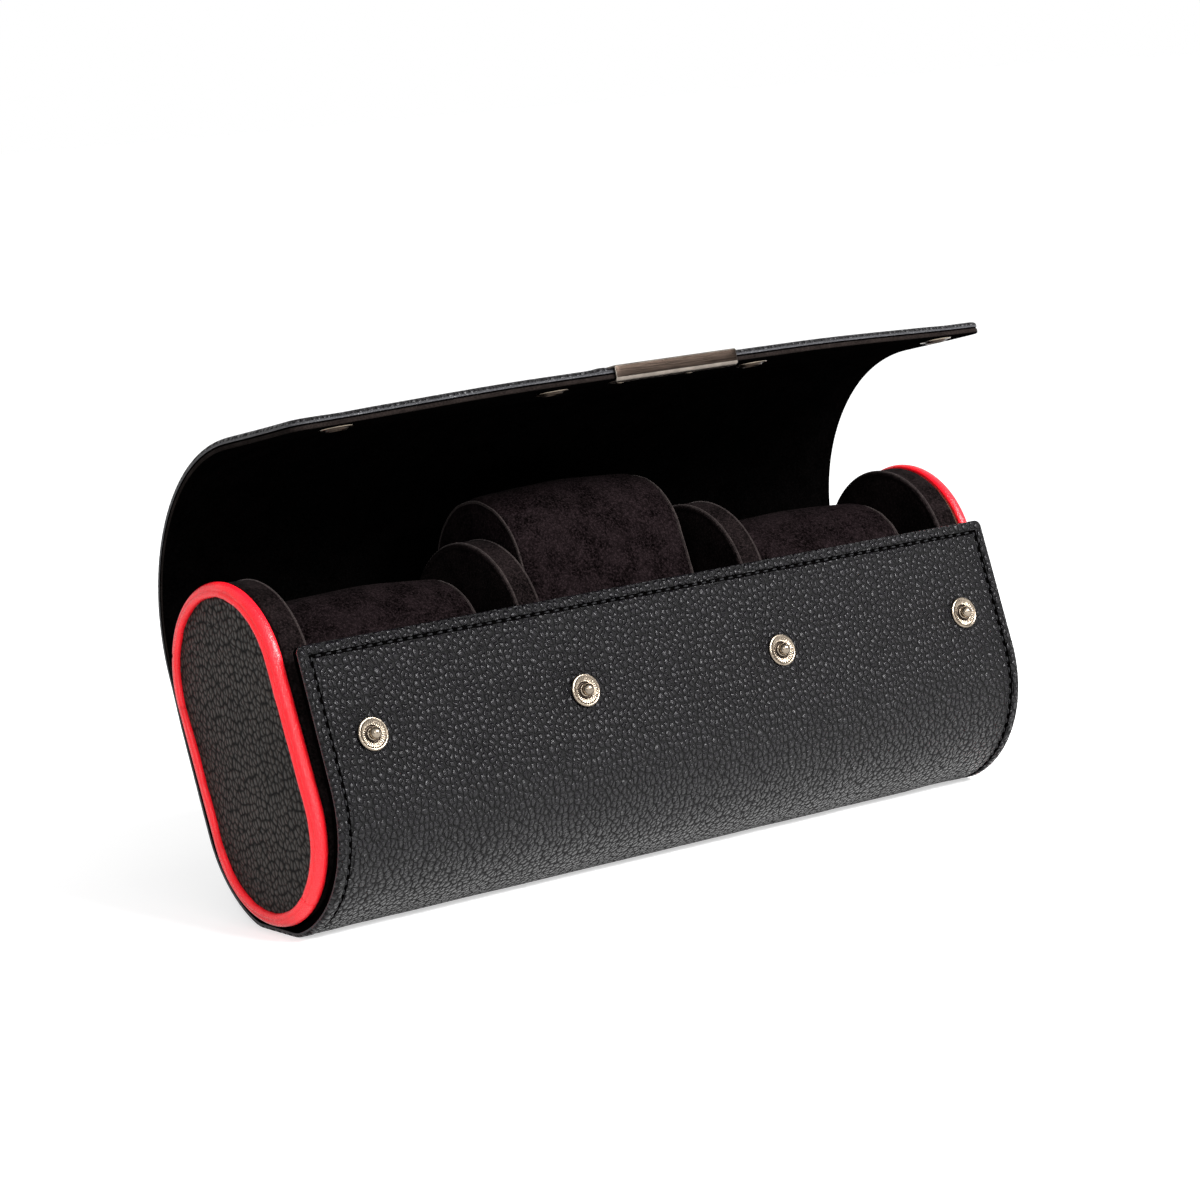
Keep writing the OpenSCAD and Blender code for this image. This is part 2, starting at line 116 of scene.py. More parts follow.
# ---- placing --------------------------------------------------------------------------------

joints = {j["name"]: j for j in frame["joints"]}
UP = np.array(joints["cushion_left_lift"]["axis"], float)
BACK = np.array([0.0, UP[2], -UP[1]])
PANEL_BEND = np.array(joints["front_panel_flex"]["pos_m"], float)
ORIGIN = PANEL_BEND + MM * (WRAP_R * BACK + ARC_DROP * UP)


def to_row(p):
    """Points in the roll's frame, in millimetres, as points in the row frame, in metres."""
    p = np.asarray(p, float).reshape(-1, 3)
    return ORIGIN + MM * (p[:, :1] * np.array([1.0, 0, 0]) + p[:, 1:2] * BACK + p[:, 2:3] * UP)


def smoothstep(t):
    t = np.clip(t, 0, 1)
    return t * t * (3 - 2 * t)


def bump_at(distance, width):
    return np.exp(-(distance / width) ** 2)


def waves(a, b, seed, period):
    """A smooth irregular field of a and b, about -1 to 1, with bumps about a period apart."""
    rng = np.random.default_rng(seed)
    total = 0.0
    for _ in range(7):
        turn = rng.uniform(0, math.pi)
        pitch = period * rng.uniform(0.7, 1.8)
        phase = rng.uniform(0, 2 * math.pi)
        along = a * math.cos(turn) + b * math.sin(turn)
        total = total + np.sin(along * 2 * math.pi / pitch + phase)
    return total / 3.2


def run_length(a, b):
    """Length along the line through the points (a, b), from the first of them."""
    return np.concatenate([[0], np.cumsum(np.hypot(np.diff(a), np.diff(b)))])


# ---- the outer skin's section: down the panel, round the bottom, up the back, over the lid --

def section_line(a, b):
    n = max(2, int(math.dist(a, b) / SECTION_STEP))
    return [(a[0] + (b[0] - a[0]) * i / n, a[1] + (b[1] - a[1]) * i / n) for i in range(n)]


def section_arc(cy, cz, r, a0, a1):
    n = max(2, int(r * abs(a1 - a0) / SECTION_STEP))
    angles = [a0 + (a1 - a0) * i / n for i in range(n)]
    return [(cy + r * math.cos(a), cz + r * math.sin(a)) for a in angles]


def floor_height(y, z):
    """Height above the floor of a point of the roll, in millimetres."""
    return -y * UP[1] + (z + ARC_DROP) * UP[2] + WRAP_R - FLAT_DEPTH


def smoothed(values):
    """Values along the section with their corners rounded, carried on straight at both ends."""
    sigma = SECTION_BLUR / SECTION_STEP
    reach = int(4 * sigma)
    kernel = np.exp(-0.5 * (np.arange(-reach, reach + 1) / sigma) ** 2)
    kernel /= kernel.sum()
    head = values[0] - (values[1] - values[0]) * np.arange(reach, 0, -1)
    tail = values[-1] + (values[-1] - values[-2]) * np.arange(1, reach + 1)
    return np.convolve(np.concatenate([head, values, tail]), kernel, mode="valid")


def lid_section():
    """The lid's outer skin: straight, then curling over, then straight to past its tip."""
    centre_y = BACK_Y - LID_R
    end = (centre_y + LID_R * math.cos(LID_TURN), LID_ARC_Z + LID_R * math.sin(LID_TURN))
    straight = LID_TOTAL + PAST_TIP - (LID_ARC_Z - LID_START_Z) - LID_R * LID_TURN
    way = (math.cos(LID_TURN + math.pi / 2), math.sin(LID_TURN + math.pi / 2))
    tip = (end[0] + straight * way[0], end[1] + straight * way[1])
    points = section_line((BACK_Y, LID_START_Z), (BACK_Y, LID_ARC_Z))
    return points + section_arc(centre_y, LID_ARC_Z, LID_R, 0, LID_TURN) + section_line(end, tip) + [tip]


def skin_section():
    """Arc length from the lid's first bending line, the outer skin's Y and Z, and the panel's bend."""
    panel_len = (PANEL_TOP + ARC_DROP) / math.cos(PANEL_LEAN)
    top = (-WRAP_R - panel_len * math.sin(PANEL_LEAN), PANEL_TOP)
    panel = section_line(top, (-WRAP_R, -ARC_DROP))
    bottom = section_arc(0, -ARC_DROP, WRAP_R, math.pi, 2 * math.pi)
    back = section_line((WRAP_R, -ARC_DROP), (BACK_Y, LID_START_Z))
    points = np.array(panel + bottom + back + lid_section())
    length = run_length(points[:, 0], points[:, 1])
    length -= length[len(panel) + len(bottom) + len(back)]

    under = np.minimum(floor_height(points[:, 0], points[:, 1]), 0)
    under[: len(panel)] = 0
    points[:, 0] += UP[1] * under
    points[:, 1] -= UP[2] * under
    return length, smoothed(points[:, 0]), smoothed(points[:, 1]), length[len(panel)]


SKIN_S, SKIN_Y, SKIN_Z, PANEL_BEND_S = skin_section()
slope_y, slope_z = np.gradient(SKIN_Y, SKIN_S), np.gradient(SKIN_Z, SKIN_S)
slope = np.hypot(slope_y, slope_z)
SKIN_DY, SKIN_DZ = slope_y / slope, slope_z / slope
PANEL_TOP_S = SKIN_S[0]
WRAP_END_S = -STRIP / 2
STUD_S = PANEL_BEND_S - (STUD_Z + ARC_DROP) / math.cos(PANEL_LEAN)
SNAP_XS = [i * SNAP_PITCH for i in (-1.5, -0.5, 0.5, 1.5)]


def on_skin(x, s, depth):
    """Point at x, at arc length s, so deep under the outer skin."""
    y, z = np.interp(s, SKIN_S, SKIN_Y), np.interp(s, SKIN_S, SKIN_Z)
    dy, dz = np.interp(s, SKIN_S, SKIN_DY), np.interp(s, SKIN_S, SKIN_DZ)
    return np.stack([x + 0 * y, y - dz * depth, z + dy * depth], -1)


def skin_axes(s):
    """At arc length s: along X, along the skin, and inwards."""
    dy, dz = float(np.interp(s, SKIN_S, SKIN_DY)), float(np.interp(s, SKIN_S, SKIN_DZ))
    return np.array([1.0, 0, 0]), np.array([0, dy, dz]), np.array([0, -dz, dy])


def skin_point(x, s, depth):
    """One point at x, at arc length s, so deep under the outer skin."""
    return on_skin(np.array([x]), np.array([s]), np.array([depth]))[0]


# ---- mesh tools -----------------------------------------------------------------------------

def quads(start, rows, cols, close_rows=False, close_cols=False):
    """Faces of a grid of points, stored row by row from index start."""
    out = []
    for r in range(rows if close_rows else rows - 1):
        for c in range(cols if close_cols else cols - 1):
            r2, c2 = (r + 1) % rows, (c + 1) % cols
            out.append((start + r * cols + c, start + r * cols + c2,
                        start + r2 * cols + c2, start + r2 * cols + c))
    return out


class Shape:
    """Collects the points, faces, material numbers and grain coordinates of one piece."""

    def __init__(self):
        self.points, self.grain, self.faces, self.mats, self.flat = [], [], [], [], []
        self.count = 0

    def add_points(self, points, grain=None):
        points = np.asarray(points, float).reshape(-1, 3)
        start = self.count
        self.points.append(points)
        self.grain.append(points if grain is None else np.asarray(grain, float).reshape(-1, 3))
        self.count += len(points)
        return start

    def add_faces(self, faces, material=0, flat=False):
        self.faces += [tuple(f) for f in faces]
        self.mats += [material] * len(faces)
        self.flat += [flat] * len(faces)

    def add_grid(self, points, grain=None, material=0, close_rows=False, close_cols=False):
        rows, cols = points.shape[:2]
        start = self.add_points(points, grain)
        self.add_faces(quads(start, rows, cols, close_rows, close_cols), material)
        return start

    def add_cap(self, start, count, material=0, flat=False):
        """One face round that many points from start on."""
        self.add_faces([tuple(range(start, start + count))], material, flat)

    def build(self, name, materials, weld=0.0):
        mesh = bpy.data.meshes.new(name)
        points = np.concatenate(self.points)
        mesh.from_pydata(to_row(points).tolist(), [], self.faces)
        mesh.polygons.foreach_set("material_index", np.array(self.mats, np.int32))
        mesh.polygons.foreach_set("use_smooth", ~np.array(self.flat, bool))
        grain = mesh.attributes.new("grain", "FLOAT_VECTOR", "POINT")
        grain.data.foreach_set("vector", (np.concatenate(self.grain) * MM).astype(np.float32).ravel())
        for m in materials:
            mesh.materials.append(m)
        bm = bmesh.new()
        bm.from_mesh(mesh)
        if weld:
            bmesh.ops.remove_doubles(bm, verts=bm.verts, dist=weld * MM)
            bmesh.ops.dissolve_degenerate(bm, edges=bm.edges, dist=weld * MM / 2)
        bmesh.ops.recalc_face_normals(bm, faces=bm.faces)
        bm.to_mesh(mesh)
        bm.free()
        mesh.update()
        return add_object(name, mesh)


def spread(start, end, step):
    """Evenly spaced values from start to end, about a step apart, both ends included."""
    return np.linspace(start, end, max(2, int(round(abs(end - start) / step)) + 1))


def attach(piece, body, slot, *replaced):
    """Fixes a piece to its body and hides the CAD nodes it replaces. Its slot is not used."""
    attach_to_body(piece, body)
    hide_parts(*replaced)


# ---- materials ------------------------------------------------------------------------------

def shader_node(tree, kind, sockets=None, **settings):
    """A shader node with its settings, and its sockets linked or set to a value."""
    n = tree.nodes.new("ShaderNode" + kind)
    for key, value in settings.items():
        setattr(n, key, value)
    for key, value in (sockets or {}).items():
        if isinstance(value, bpy.types.NodeSocket):
            tree.links.new(value, n.inputs[key])
        else:
            n.inputs[key].default_value = value
    return n


def new_material(name, **fixed):
    """A material, its tree and its main shader, whose fixed sockets are set here."""
    material = bpy.data.materials.new(name)
    material.use_nodes = True
    bsdf = material.node_tree.nodes["Principled BSDF"]
    for key, value in fixed.items():
        bsdf.inputs[key.replace("_", " ")].default_value = value
    return material, material.node_tree, bsdf


def finish_look(tree, bsdf, colour, rough, height, relief):
    """Links a colour, a roughness unless it is None, and a bump of that many millimetres."""
    tree.links.new(colour, bsdf.inputs["Base Color"])
    if rough is not None:
        tree.links.new(rough, bsdf.inputs["Roughness"])
    bump = shader_node(tree, "Bump", {"Height": height, "Distance": relief * MM, "Strength": 1.0})
    tree.links.new(bump.outputs["Normal"], bsdf.inputs["Normal"])


def math_node(tree, operation, a, b, clamp=False):
    return shader_node(tree, "Math", {0: a, 1: b}, operation=operation, use_clamp=clamp).outputs[0]


def times(tree, a, b):
    return math_node(tree, "MULTIPLY", a, b)


def plus(tree, a, b):
    return math_node(tree, "ADD", a, b)


def vector_node(tree, operation, a, b):
    return shader_node(tree, "VectorMath", {0: a, 1: b}, operation=operation).outputs[0]


def ranged(tree, value, low, high, to_low, to_high, smooth=True):
    """The value's share of the way from low to high, as a value from to_low to to_high."""
    n = shader_node(tree, "MapRange", {"Value": value, "From Min": low, "From Max": high,
                                       "To Min": to_low, "To Max": to_high},
                    interpolation_type="SMOOTHSTEP" if smooth else "LINEAR")
    return n.outputs["Result"]


def mixed(tree, factor, a, b):
    """A colour between a and b."""
    n = shader_node(tree, "Mix", {"Factor": factor}, data_type="RGBA")
    for socket, value in (("A", a), ("B", b)):
        target = [i for i in n.inputs if i.name == socket and i.type == "RGBA"][0]
        target.default_value = (*value, 1)
    return [o for o in n.outputs if o.type == "RGBA"][0]


def grain_vector(tree, per_mm):
    """The piece's own coordinates in millimetres, times per_mm on each axis."""
    source = shader_node(tree, "Attribute", attribute_name="grain", attribute_type="GEOMETRY")
    return vector_node(tree, "MULTIPLY", source.outputs["Vector"], [v * 1000 for v in per_mm])


def object_vector(tree, per_mm):
    """The object's coordinates in millimetres, times per_mm on each axis."""
    source = shader_node(tree, "TexCoord")
    return vector_node(tree, "MULTIPLY", source.outputs["Object"], [v * 1000 for v in per_mm])


def noise(tree, vector, scale, detail=2.0, rough=0.5):
    return shader_node(tree, "TexNoise", {"Vector": vector, "Scale": scale, "Detail": detail,
                                          "Roughness": rough}).outputs


def pebbled(name, cell, low, high, rough, relief, crevice, specular):
    """Pebbled leather: irregular domed cells of about that size, low in the crevices, where the colour is
    darkened as painted shade.
    """
    material, tree, bsdf = new_material(name, Specular_IOR_Level=specular)
    vector = grain_vector(tree, (1 / cell[0], 1 / cell[1], 0.5))
    wobble = noise(tree, vector, 0.9, 2)["Color"]
    centred = vector_node(tree, "SUBTRACT", wobble, (0.5, 0.5, 0.5))
    pushed = vector_node(tree, "MULTIPLY", centred, (0.6, 0.6, 0.0))
    cells = {"Vector": vector_node(tree, "ADD", vector, pushed), "Scale": 1.0, "Randomness": 0.92}
    edge = shader_node(tree, "TexVoronoi", cells, voronoi_dimensions="2D", feature="DISTANCE_TO_EDGE")
    centre = shader_node(tree, "TexVoronoi", cells, voronoi_dimensions="2D", feature="F1")
    plateau = ranged(tree, edge.outputs["Distance"], 0.0, crevice, 0.0, 1.0)
    away = times(tree, centre.outputs["Distance"], 1.45)
    dome = math_node(tree, "SUBTRACT", 1.0, times(tree, away, away), clamp=True)
    full = plus(tree, times(tree, plateau, 0.5), times(tree, dome, 0.5))
    fine = noise(tree, vector, 3.2, 3, 0.6)["Fac"]
    surface = plus(tree, full, times(tree, fine, 0.24))
    broad = noise(tree, vector, 0.07, 2)["Fac"]
    tint = shader_node(tree, "SeparateColor", {"Color": centre.outputs["Color"]}).outputs[0]
    # Painted shade: the colour follows the cell's height, near black in the crevices; the cell's tint and
    # the broad patches are the leather's own tone.
    shade = times(tree, full, ranged(tree, tint, 0, 1, 0.65, 1.2, False))
    shade = times(tree, shade, ranged(tree, broad, 0.3, 0.7, 0.85, 1.12))
    finish_look(tree, bsdf, mixed(tree, shade, low, high),
                ranged(tree, surface, 0.1, 1.0, rough[1], rough[0]), surface, relief)
    return material


def suede(name, dark, light, sheen, specular=0.06):
    """Suede: a fine nap brushed this way and that, in soft patches."""
    material, tree, bsdf = new_material(name, Specular_IOR_Level=specular, Sheen_Weight=sheen,
                                        Sheen_Roughness=0.45)
    bsdf.inputs["Sheen Tint"].default_value = (0.75, 0.66, 0.66, 1)
    vector = grain_vector(tree, (1, 1, 1))
    patches = noise(tree, vector, 0.13, 3, 0.6)["Fac"]
    speckle = noise(tree, vector, 1.7, 2, 0.8)["Fac"]
    fibres = noise(tree, vector, 0.9, 4, 0.65)["Fac"]
    tone = plus(tree, times(tree, ranged(tree, patches, 0.38, 0.62, 0, 1), 0.25),
                times(tree, ranged(tree, speckle, 0.48, 0.64, 0, 1), 0.6))
    tone = plus(tree, tone, times(tree, ranged(tree, fibres, 0.35, 0.65, 0, 1), 0.25))
    finish_look(tree, bsdf, mixed(tree, tone, dark, light), ranged(tree, patches, 0.3, 0.7, 1.0, 0.8),
                plus(tree, speckle, fibres), 0.24)
    return material


def smooth_leather(name, low, high, rough, pitch, relief):
    """Fine-grained finished leather, as on the coloured bands and the cut edges."""
    material, tree, bsdf = new_material(name, Specular_IOR_Level=0.34)
    vector = grain_vector(tree, (1 / pitch, 1 / pitch, 1 / pitch))
    edge = shader_node(tree, "TexVoronoi", {"Vector": vector, "Scale": 1.0, "Randomness": 1.0},
                       voronoi_dimensions="3D", feature="DISTANCE_TO_EDGE")
    cells = ranged(tree, edge.outputs["Distance"], 0.0, 0.22, 0.0, 1.0)
    broad = noise(tree, vector, 0.08, 3)["Fac"]
    fine = noise(tree, vector, 2.5, 2)["Fac"]
    tone = plus(tree, times(tree, cells, 0.35), times(tree, ranged(tree, broad, 0.3, 0.7, 0, 1), 0.65))
    finish_look(tree, bsdf, mixed(tree, tone, low, high), ranged(tree, tone, 0, 1, rough[1], rough[0]),
                plus(tree, cells, times(tree, fine, 0.4)), relief)
    return material


def metal(name, tone, worn, rough, stretch, relief):
    """Plated or brushed metal with faint lines along the stretched axis and dull patches."""
    material, tree, bsdf = new_material(name, Metallic=1.0)
    lines = noise(tree, object_vector(tree, stretch), 1.0, 4, 0.6)["Fac"]
    patches = noise(tree, object_vector(tree, (1, 1, 1)), 0.35, 3)["Fac"]
    share = times(tree, ranged(tree, patches, 0.35, 0.65, 0.2, 1), ranged(tree, lines, 0.3, 0.7, 0.5, 1))
    finish_look(tree, bsdf, mixed(tree, share, worn, tone),
                ranged(tree, lines, 0.3, 0.7, rough[0], rough[1]), lines, relief)
    return material


def thread(name, tone):
    """Waxed thread: two plies laid round each other."""
    material, tree, bsdf = new_material(name, Roughness=0.5, Specular_IOR_Level=0.14)
    lay = shader_node(tree, "TexWave", {"Vector": grain_vector(tree, (1, 1, 1)), "Scale": 1.6,
                                        "Distortion": 0.5}, bands_direction="DIAGONAL").outputs["Fac"]
    finish_look(tree, bsdf, mixed(tree, lay, [c * 0.5 for c in tone], tone), None, lay, 0.05)
    return material


def board(name, low, high, pitch):
    """Pressed fibre board or grey card, all of it inside the covers."""
    material, tree, bsdf = new_material(name, Roughness=0.9, Specular_IOR_Level=0.2)
    fibres = noise(tree, object_vector(tree, (1 / pitch, 1 / pitch, 1 / pitch)), 1.0, 5, 0.7)["Fac"]
    finish_look(tree, bsdf, mixed(tree, fibres, low, high), None, fibres, 0.1)
    return material


# The first colour of each pebbled leather is the painted shade of its crevices, the second the tone of its
# cell tops.
pebbled_leather = pebbled("pebbled_leather", (1.65, 1.9), (0.0004, 0.0004, 0.0005),
                          (0.0032, 0.0027, 0.0038), (0.24, 0.9), 1.05, 0.26, 0.17)
disc_leather = pebbled("disc_leather", (1.6, 2.1), (0.0006, 0.0005, 0.0005),
                       (0.031, 0.026, 0.023), (0.42, 0.8), 0.60, 0.34, 0.10)
edge_leather = smooth_leather("edge_leather", (0.010, 0.010, 0.012), (0.032, 0.032, 0.036),
                              (0.36, 0.6), 0.8, 0.06)
red_leather = smooth_leather("red_leather", (0.70, 0.005, 0.011), (0.85, 0.010, 0.020),
                             (0.22, 0.34), 0.6, 0.04)
# Near black and without gloss: black suede, darkened further as painted shade where it lines the lid and
# fills the gaps and the stitch groove.
black_suede_and_painted_shade = suede("black_suede_and_painted_shade", (0.0002, 0.0002, 0.0002), (0.0012, 0.0010, 0.0010), 0.0, 0.0)
edge_suede = suede("edge_suede", (0.0035, 0.0026, 0.0024), (0.012, 0.009, 0.008), 0.0, 0.02)
cushion_suede = suede("cushion_suede", (0.0003, 0.0002, 0.0002), (0.0098, 0.0066, 0.0073), 0.003, 0.0)
disc_suede = suede("disc_suede", (0.0003, 0.0002, 0.0002), (0.0100, 0.0070, 0.0072), 0.006, 0.01)
rim_line = suede("rim_line", (0.008, 0.006, 0.006), (0.026, 0.020, 0.019), 0.05)
black_thread = thread("black_thread", (0.004, 0.004, 0.005))
nickel = metal("nickel_plate", (0.235, 0.197, 0.153), (0.145, 0.12, 0.094), (0.16, 0.30), (2, 2, 2), 0.01)
# Rougher nickel whose darker colour is painted shade in the ring round each stud's ball and in each socket's
# bore and centre.
dull_nickel_painted_shade = metal("dull_nickel_painted_shade", (0.045, 0.034, 0.026), (0.020, 0.015, 0.012), (0.3, 0.5), (2, 2, 2), 0.02)
brushed = {"rough": (0.22, 0.38), "stretch": (0.12, 4, 4), "relief": 0.02}
gunmetal = metal("gunmetal_sheet", (0.020, 0.0145, 0.0115), (0.016, 0.0115, 0.009), **brushed)
worn_gunmetal = metal("worn_gunmetal", (0.17, 0.147, 0.126), (0.11, 0.095, 0.082), **brushed)
grey_card = board("grey_card", (0.16, 0.14, 0.12), (0.34, 0.31, 0.27), 0.8)
fibre_board = board("fibre_board", (0.22, 0.16, 0.10), (0.40, 0.31, 0.22), 0.6)


# ---- leather skins: wrap and lid ------------------------------------------------------------

EDGE_STEPS = np.array([0, 0.1, 0.25, 0.45, 0.7, 1.05, 1.5, 2.0, 2.45, 2.8, 3.05, 3.3, 3.55, 3.85, 4.3, 5.1])
EVEN_FROM_X, EVEN_STEP_X = 6.6, 2.0      # from there on inwards the grid is even
EVEN_FROM_S, EVEN_STEP_S = 6.1, 1.1
# Profile of an edge between the two faces: how far inside the outline, and how deep
EDGE_PROFILE = [(0.0, 0.85), (0.05, 1.12), (0.32, 1.28), (0.38, 1.42), (0.14, 1.58),
                (0.02, 1.85), (0.0, 2.2), (0.06, 2.5)]
OUTER_EDGE_DEPTH = 0.55
INNER_EDGE_DEPTH = 2.72
ROLL_WIDTH = 0.7         # width of the rolled edge
BEAD_RISE = 0.45         # the swelling between the edge and the stitches
GROOVE_DEPTH = 0.62      # the groove that the stitches lie in
GROOVE_WIDTH = 0.50
CORNER_HANG = 1.15       # how much lower the lid's corners hang than its middle
LEATHER, CUT_EDGE, GLUE, SUEDE_EDGE, LINING, THREAD, GROOVE = range(7)
EDGE_BANDS = [CUT_EDGE] * 2 + [GLUE] * 3 + [SUEDE_EDGE] * 4


def lid_bow(x):
    """How much shorter the lid is at x than at the middle of its bowed free edge."""
    bow_r = LID_HALF ** 2 / (2 * LID_BOW) + LID_BOW / 2
    return bow_r - np.sqrt(bow_r ** 2 - x ** 2)


def skin_hang(x, s):
    """How much lower the lid hangs here, towards its free corners, than in its middle."""
    return CORNER_HANG * smoothstep((np.abs(x) - 45) / 75) * smoothstep((s - 70) / 65)


class SkinPiece:
    """One piece of leather lined with suede, between two arc lengths, with free edges."""

    def __init__(self, s0, s1, free_start=False, free_end=False, corner=0.0):
        self.s0, self.s1 = s0, s1
        self.free_start, self.free_end, self.corner = free_start, free_end, corner
        even = spread(-WRAP_HALF + EVEN_FROM_X, WRAP_HALF - EVEN_FROM_X, EVEN_STEP_X)
        self.xs = np.concatenate([-WRAP_HALF + EDGE_STEPS, even, (WRAP_HALF - EDGE_STEPS)[::-1]])
        rows = [spread(s0 + EVEN_FROM_S * free_start, s1 - EVEN_FROM_S * free_end, EVEN_STEP_S)]
        if free_start:
            rows.insert(0, s0 + EDGE_STEPS)
        if free_end:
            rows.append((s1 - EDGE_STEPS)[::-1])
        self.ss = np.concatenate(rows)

    def edge_distance(self, a, b):
        """Distance from the nearest free edge."""
        e = WRAP_HALF - np.abs(a)
        if self.free_start:
            e = np.minimum(e, b - self.s0)
        if self.free_end:
            e = np.minimum(e, self.s1 - b)
        return e

    def place(self, a, b):
        """From the plain rectangle (a, b) to x and arc length, with round corners and a bow."""
        x, s = np.array(a, float), np.array(b, float)
        r = self.corner
        for free, end, way in ((self.free_start, self.s0, -1), (self.free_end, self.s1, 1)):
            if not free:
                continue
            dx = np.abs(x) - (WRAP_HALF - r)
            ds = way * (s - end) + r
            inside = (dx > 0) & (ds > 0)
            rho = np.maximum(dx, ds)
            lean = math.pi / 4 * np.minimum(dx, ds) / np.maximum(rho, 1e-9)
            angle = np.where(dx >= ds, lean, math.pi / 2 - lean)
            x = np.where(inside, np.sign(x) * (WRAP_HALF - r + rho * np.cos(angle)), x)
            s = np.where(inside, end + way * (rho * np.sin(angle) - r), s)
        narrow = (WRAP_HALF - LID_HALF) * smoothstep((s + 6) / 16)
        x = x * (1 - narrow / WRAP_HALF)
        if self.free_end:
            s = s - lid_bow(x) * smoothstep((s - (self.s1 - 34)) / 34)
        return x, s

    def outer_depth(self, a, b):
        """Depth of the leather's face: rolled edge, bead, stitch groove, waviness, puckers."""
        e = self.edge_distance(a, b)
        x, s = self.place(a, b)
        out = 1 - np.clip(e / ROLL_WIDTH, 0, 1)
        roll = OUTER_EDGE_DEPTH * (1 - np.sqrt(np.clip(1 - out ** 2, 0, 1)))
        bead = BEAD_RISE * np.sin(math.pi * np.clip(e / STITCH_E, 0, 1)) ** 0.9
        groove = GROOVE_DEPTH * bump_at(e - STITCH_E, GROOVE_WIDTH)
        wavy = 0.13 * waves(x, s, 3, 34) + 0.05 * waves(x, s, 4, 11)
        depth = roll + groove - bead + wavy * smoothstep((e - 3.5) / 8)
        for sx in SNAP_XS:   # sunk under each stud, swelling round it, and dipped over each socket
            far = np.hypot(x - sx, s - STUD_S)
            depth = depth + 0.32 * bump_at(far, 6.0) - 0.10 * bump_at(far - 8.5, 3.0)
            depth = depth + 0.22 * bump_at(np.hypot(x - sx, s - SOCKET_S), 5.0)
        return self.pressed(x, s, depth)

    @staticmethod
    def pressed(x, s, depth):
        """The depth, but swelling beside the clip, flat under it and flat on the floor."""
        clip = smoothstep((CLIP_HALF + 1.5 - np.abs(x)) / 1.5)
        clip = clip * smoothstep((s - (LID_TOTAL - CLIP_FLANGE - 1)) / 1)
        swell = 0.35 * bump_at(x + CLIP_HALF + 3.2, 2.4) * smoothstep((s - (LID_TOTAL - 7)) / 5)
        height = floor_height(np.interp(s, SKIN_S, SKIN_Y), np.interp(s, SKIN_S, SKIN_Z))
        on_floor = smoothstep((2.2 - np.abs(height)) / 2.2) * (s < 0)
        depth = depth - swell
        depth = depth * (1 - clip) + np.maximum(depth, 0.02) * clip
        return depth * (1 - on_floor) + np.maximum(depth, 0.0) * on_floor

    def inner_depth(self, a, b):
        """Depth of the lining's face: rounded at its edge and raised along the seam."""
        e = self.edge_distance(a, b)
        x, s = self.place(a, b)
        rounded = (WALL_T - INNER_EDGE_DEPTH) * (1 - smoothstep(e / 0.5))
        seam = 0.22 * bump_at(e - STITCH_E, 0.5)
        return WALL_T - rounded - seam + 0.05 * waves(x, s, 5, 20) * smoothstep((e - 3.5) / 8)

    def chains(self):
        """Runs of grid points (row, column) along the free outline."""
        rows, cols = len(self.ss), len(self.xs)
        left = [(r, 0) for r in range(rows)]
        right = [(r, cols - 1) for r in range(rows)]
        start = [(0, c) for c in range(cols)]
        end = [(rows - 1, c) for c in range(cols)]
        if self.free_start:
            return [left[::-1] + start[1:-1] + right]
        if self.free_end:
            return [left + end[1:-1] + right[::-1]]
        return [left, right]

    def build_into(self, shape):
        """Adds the leather's face, the lining's face, the edges, the cut ends and the stitches."""
        a, b = np.meshgrid(self.xs, self.ss)
        x, s = self.place(a, b)
        hang = skin_hang(x, s)
        grain = np.stack([x, s, 0 * x], -1)
        out0 = shape.add_points(on_skin(x, s, self.outer_depth(a, b) + hang), grain)
        middles = [0.5 * (v[1:] + v[:-1]) for v in (self.xs, self.ss)]
        # The faces along the stitch line get the near-black suede, as painted shade in the groove.
        in_groove = np.abs(self.edge_distance(*np.meshgrid(*middles)) - STITCH_E) < 0.45
        for face, dark in zip(quads(out0, len(self.ss), len(self.xs)), in_groove.ravel()):
            shape.add_faces([face], GROOVE if dark else LEATHER)
        in0 = shape.add_grid(on_skin(x, s, self.inner_depth(a, b) + hang), grain + [0, 0, 9.0], LINING)
        for chain in self.chains():
            self.add_edge(shape, chain, out0, in0)
        self.cap_ends(shape, out0, in0)
        self.add_stitches(shape)

    def add_edge(self, shape, chain, out0, in0):
        """The free edge along a chain, from the leather's face round to the lining's."""
        cols = len(self.xs)
        ca = np.array([self.xs[c] for _, c in chain])
        cb = np.array([self.ss[r] for r, _ in chain])
        rows = [[out0 + r * cols + c for r, c in chain]]
        for inside, depth in EDGE_PROFILE:
            ia = np.sign(ca) * np.minimum(np.abs(ca), WRAP_HALF - inside)
            low = self.s0 + inside if self.free_start else self.s0
            high = self.s1 - inside if self.free_end else self.s1
            px, ps = self.place(ia, np.clip(cb, low, high))
            run = run_length(px, ps)
            start = shape.add_points(on_skin(px, ps, depth + skin_hang(px, ps)),
                                     np.stack([run, 0 * run + depth, 0 * run], -1))
            rows.append(list(range(start, start + len(chain))))
        rows.append([in0 + r * cols + c for r, c in chain])
        for lower, upper, mat in zip(rows, rows[1:], EDGE_BANDS):
            shape.add_faces([(lower[i], lower[i + 1], upper[i + 1], upper[i])
                             for i in range(len(chain) - 1)], mat)

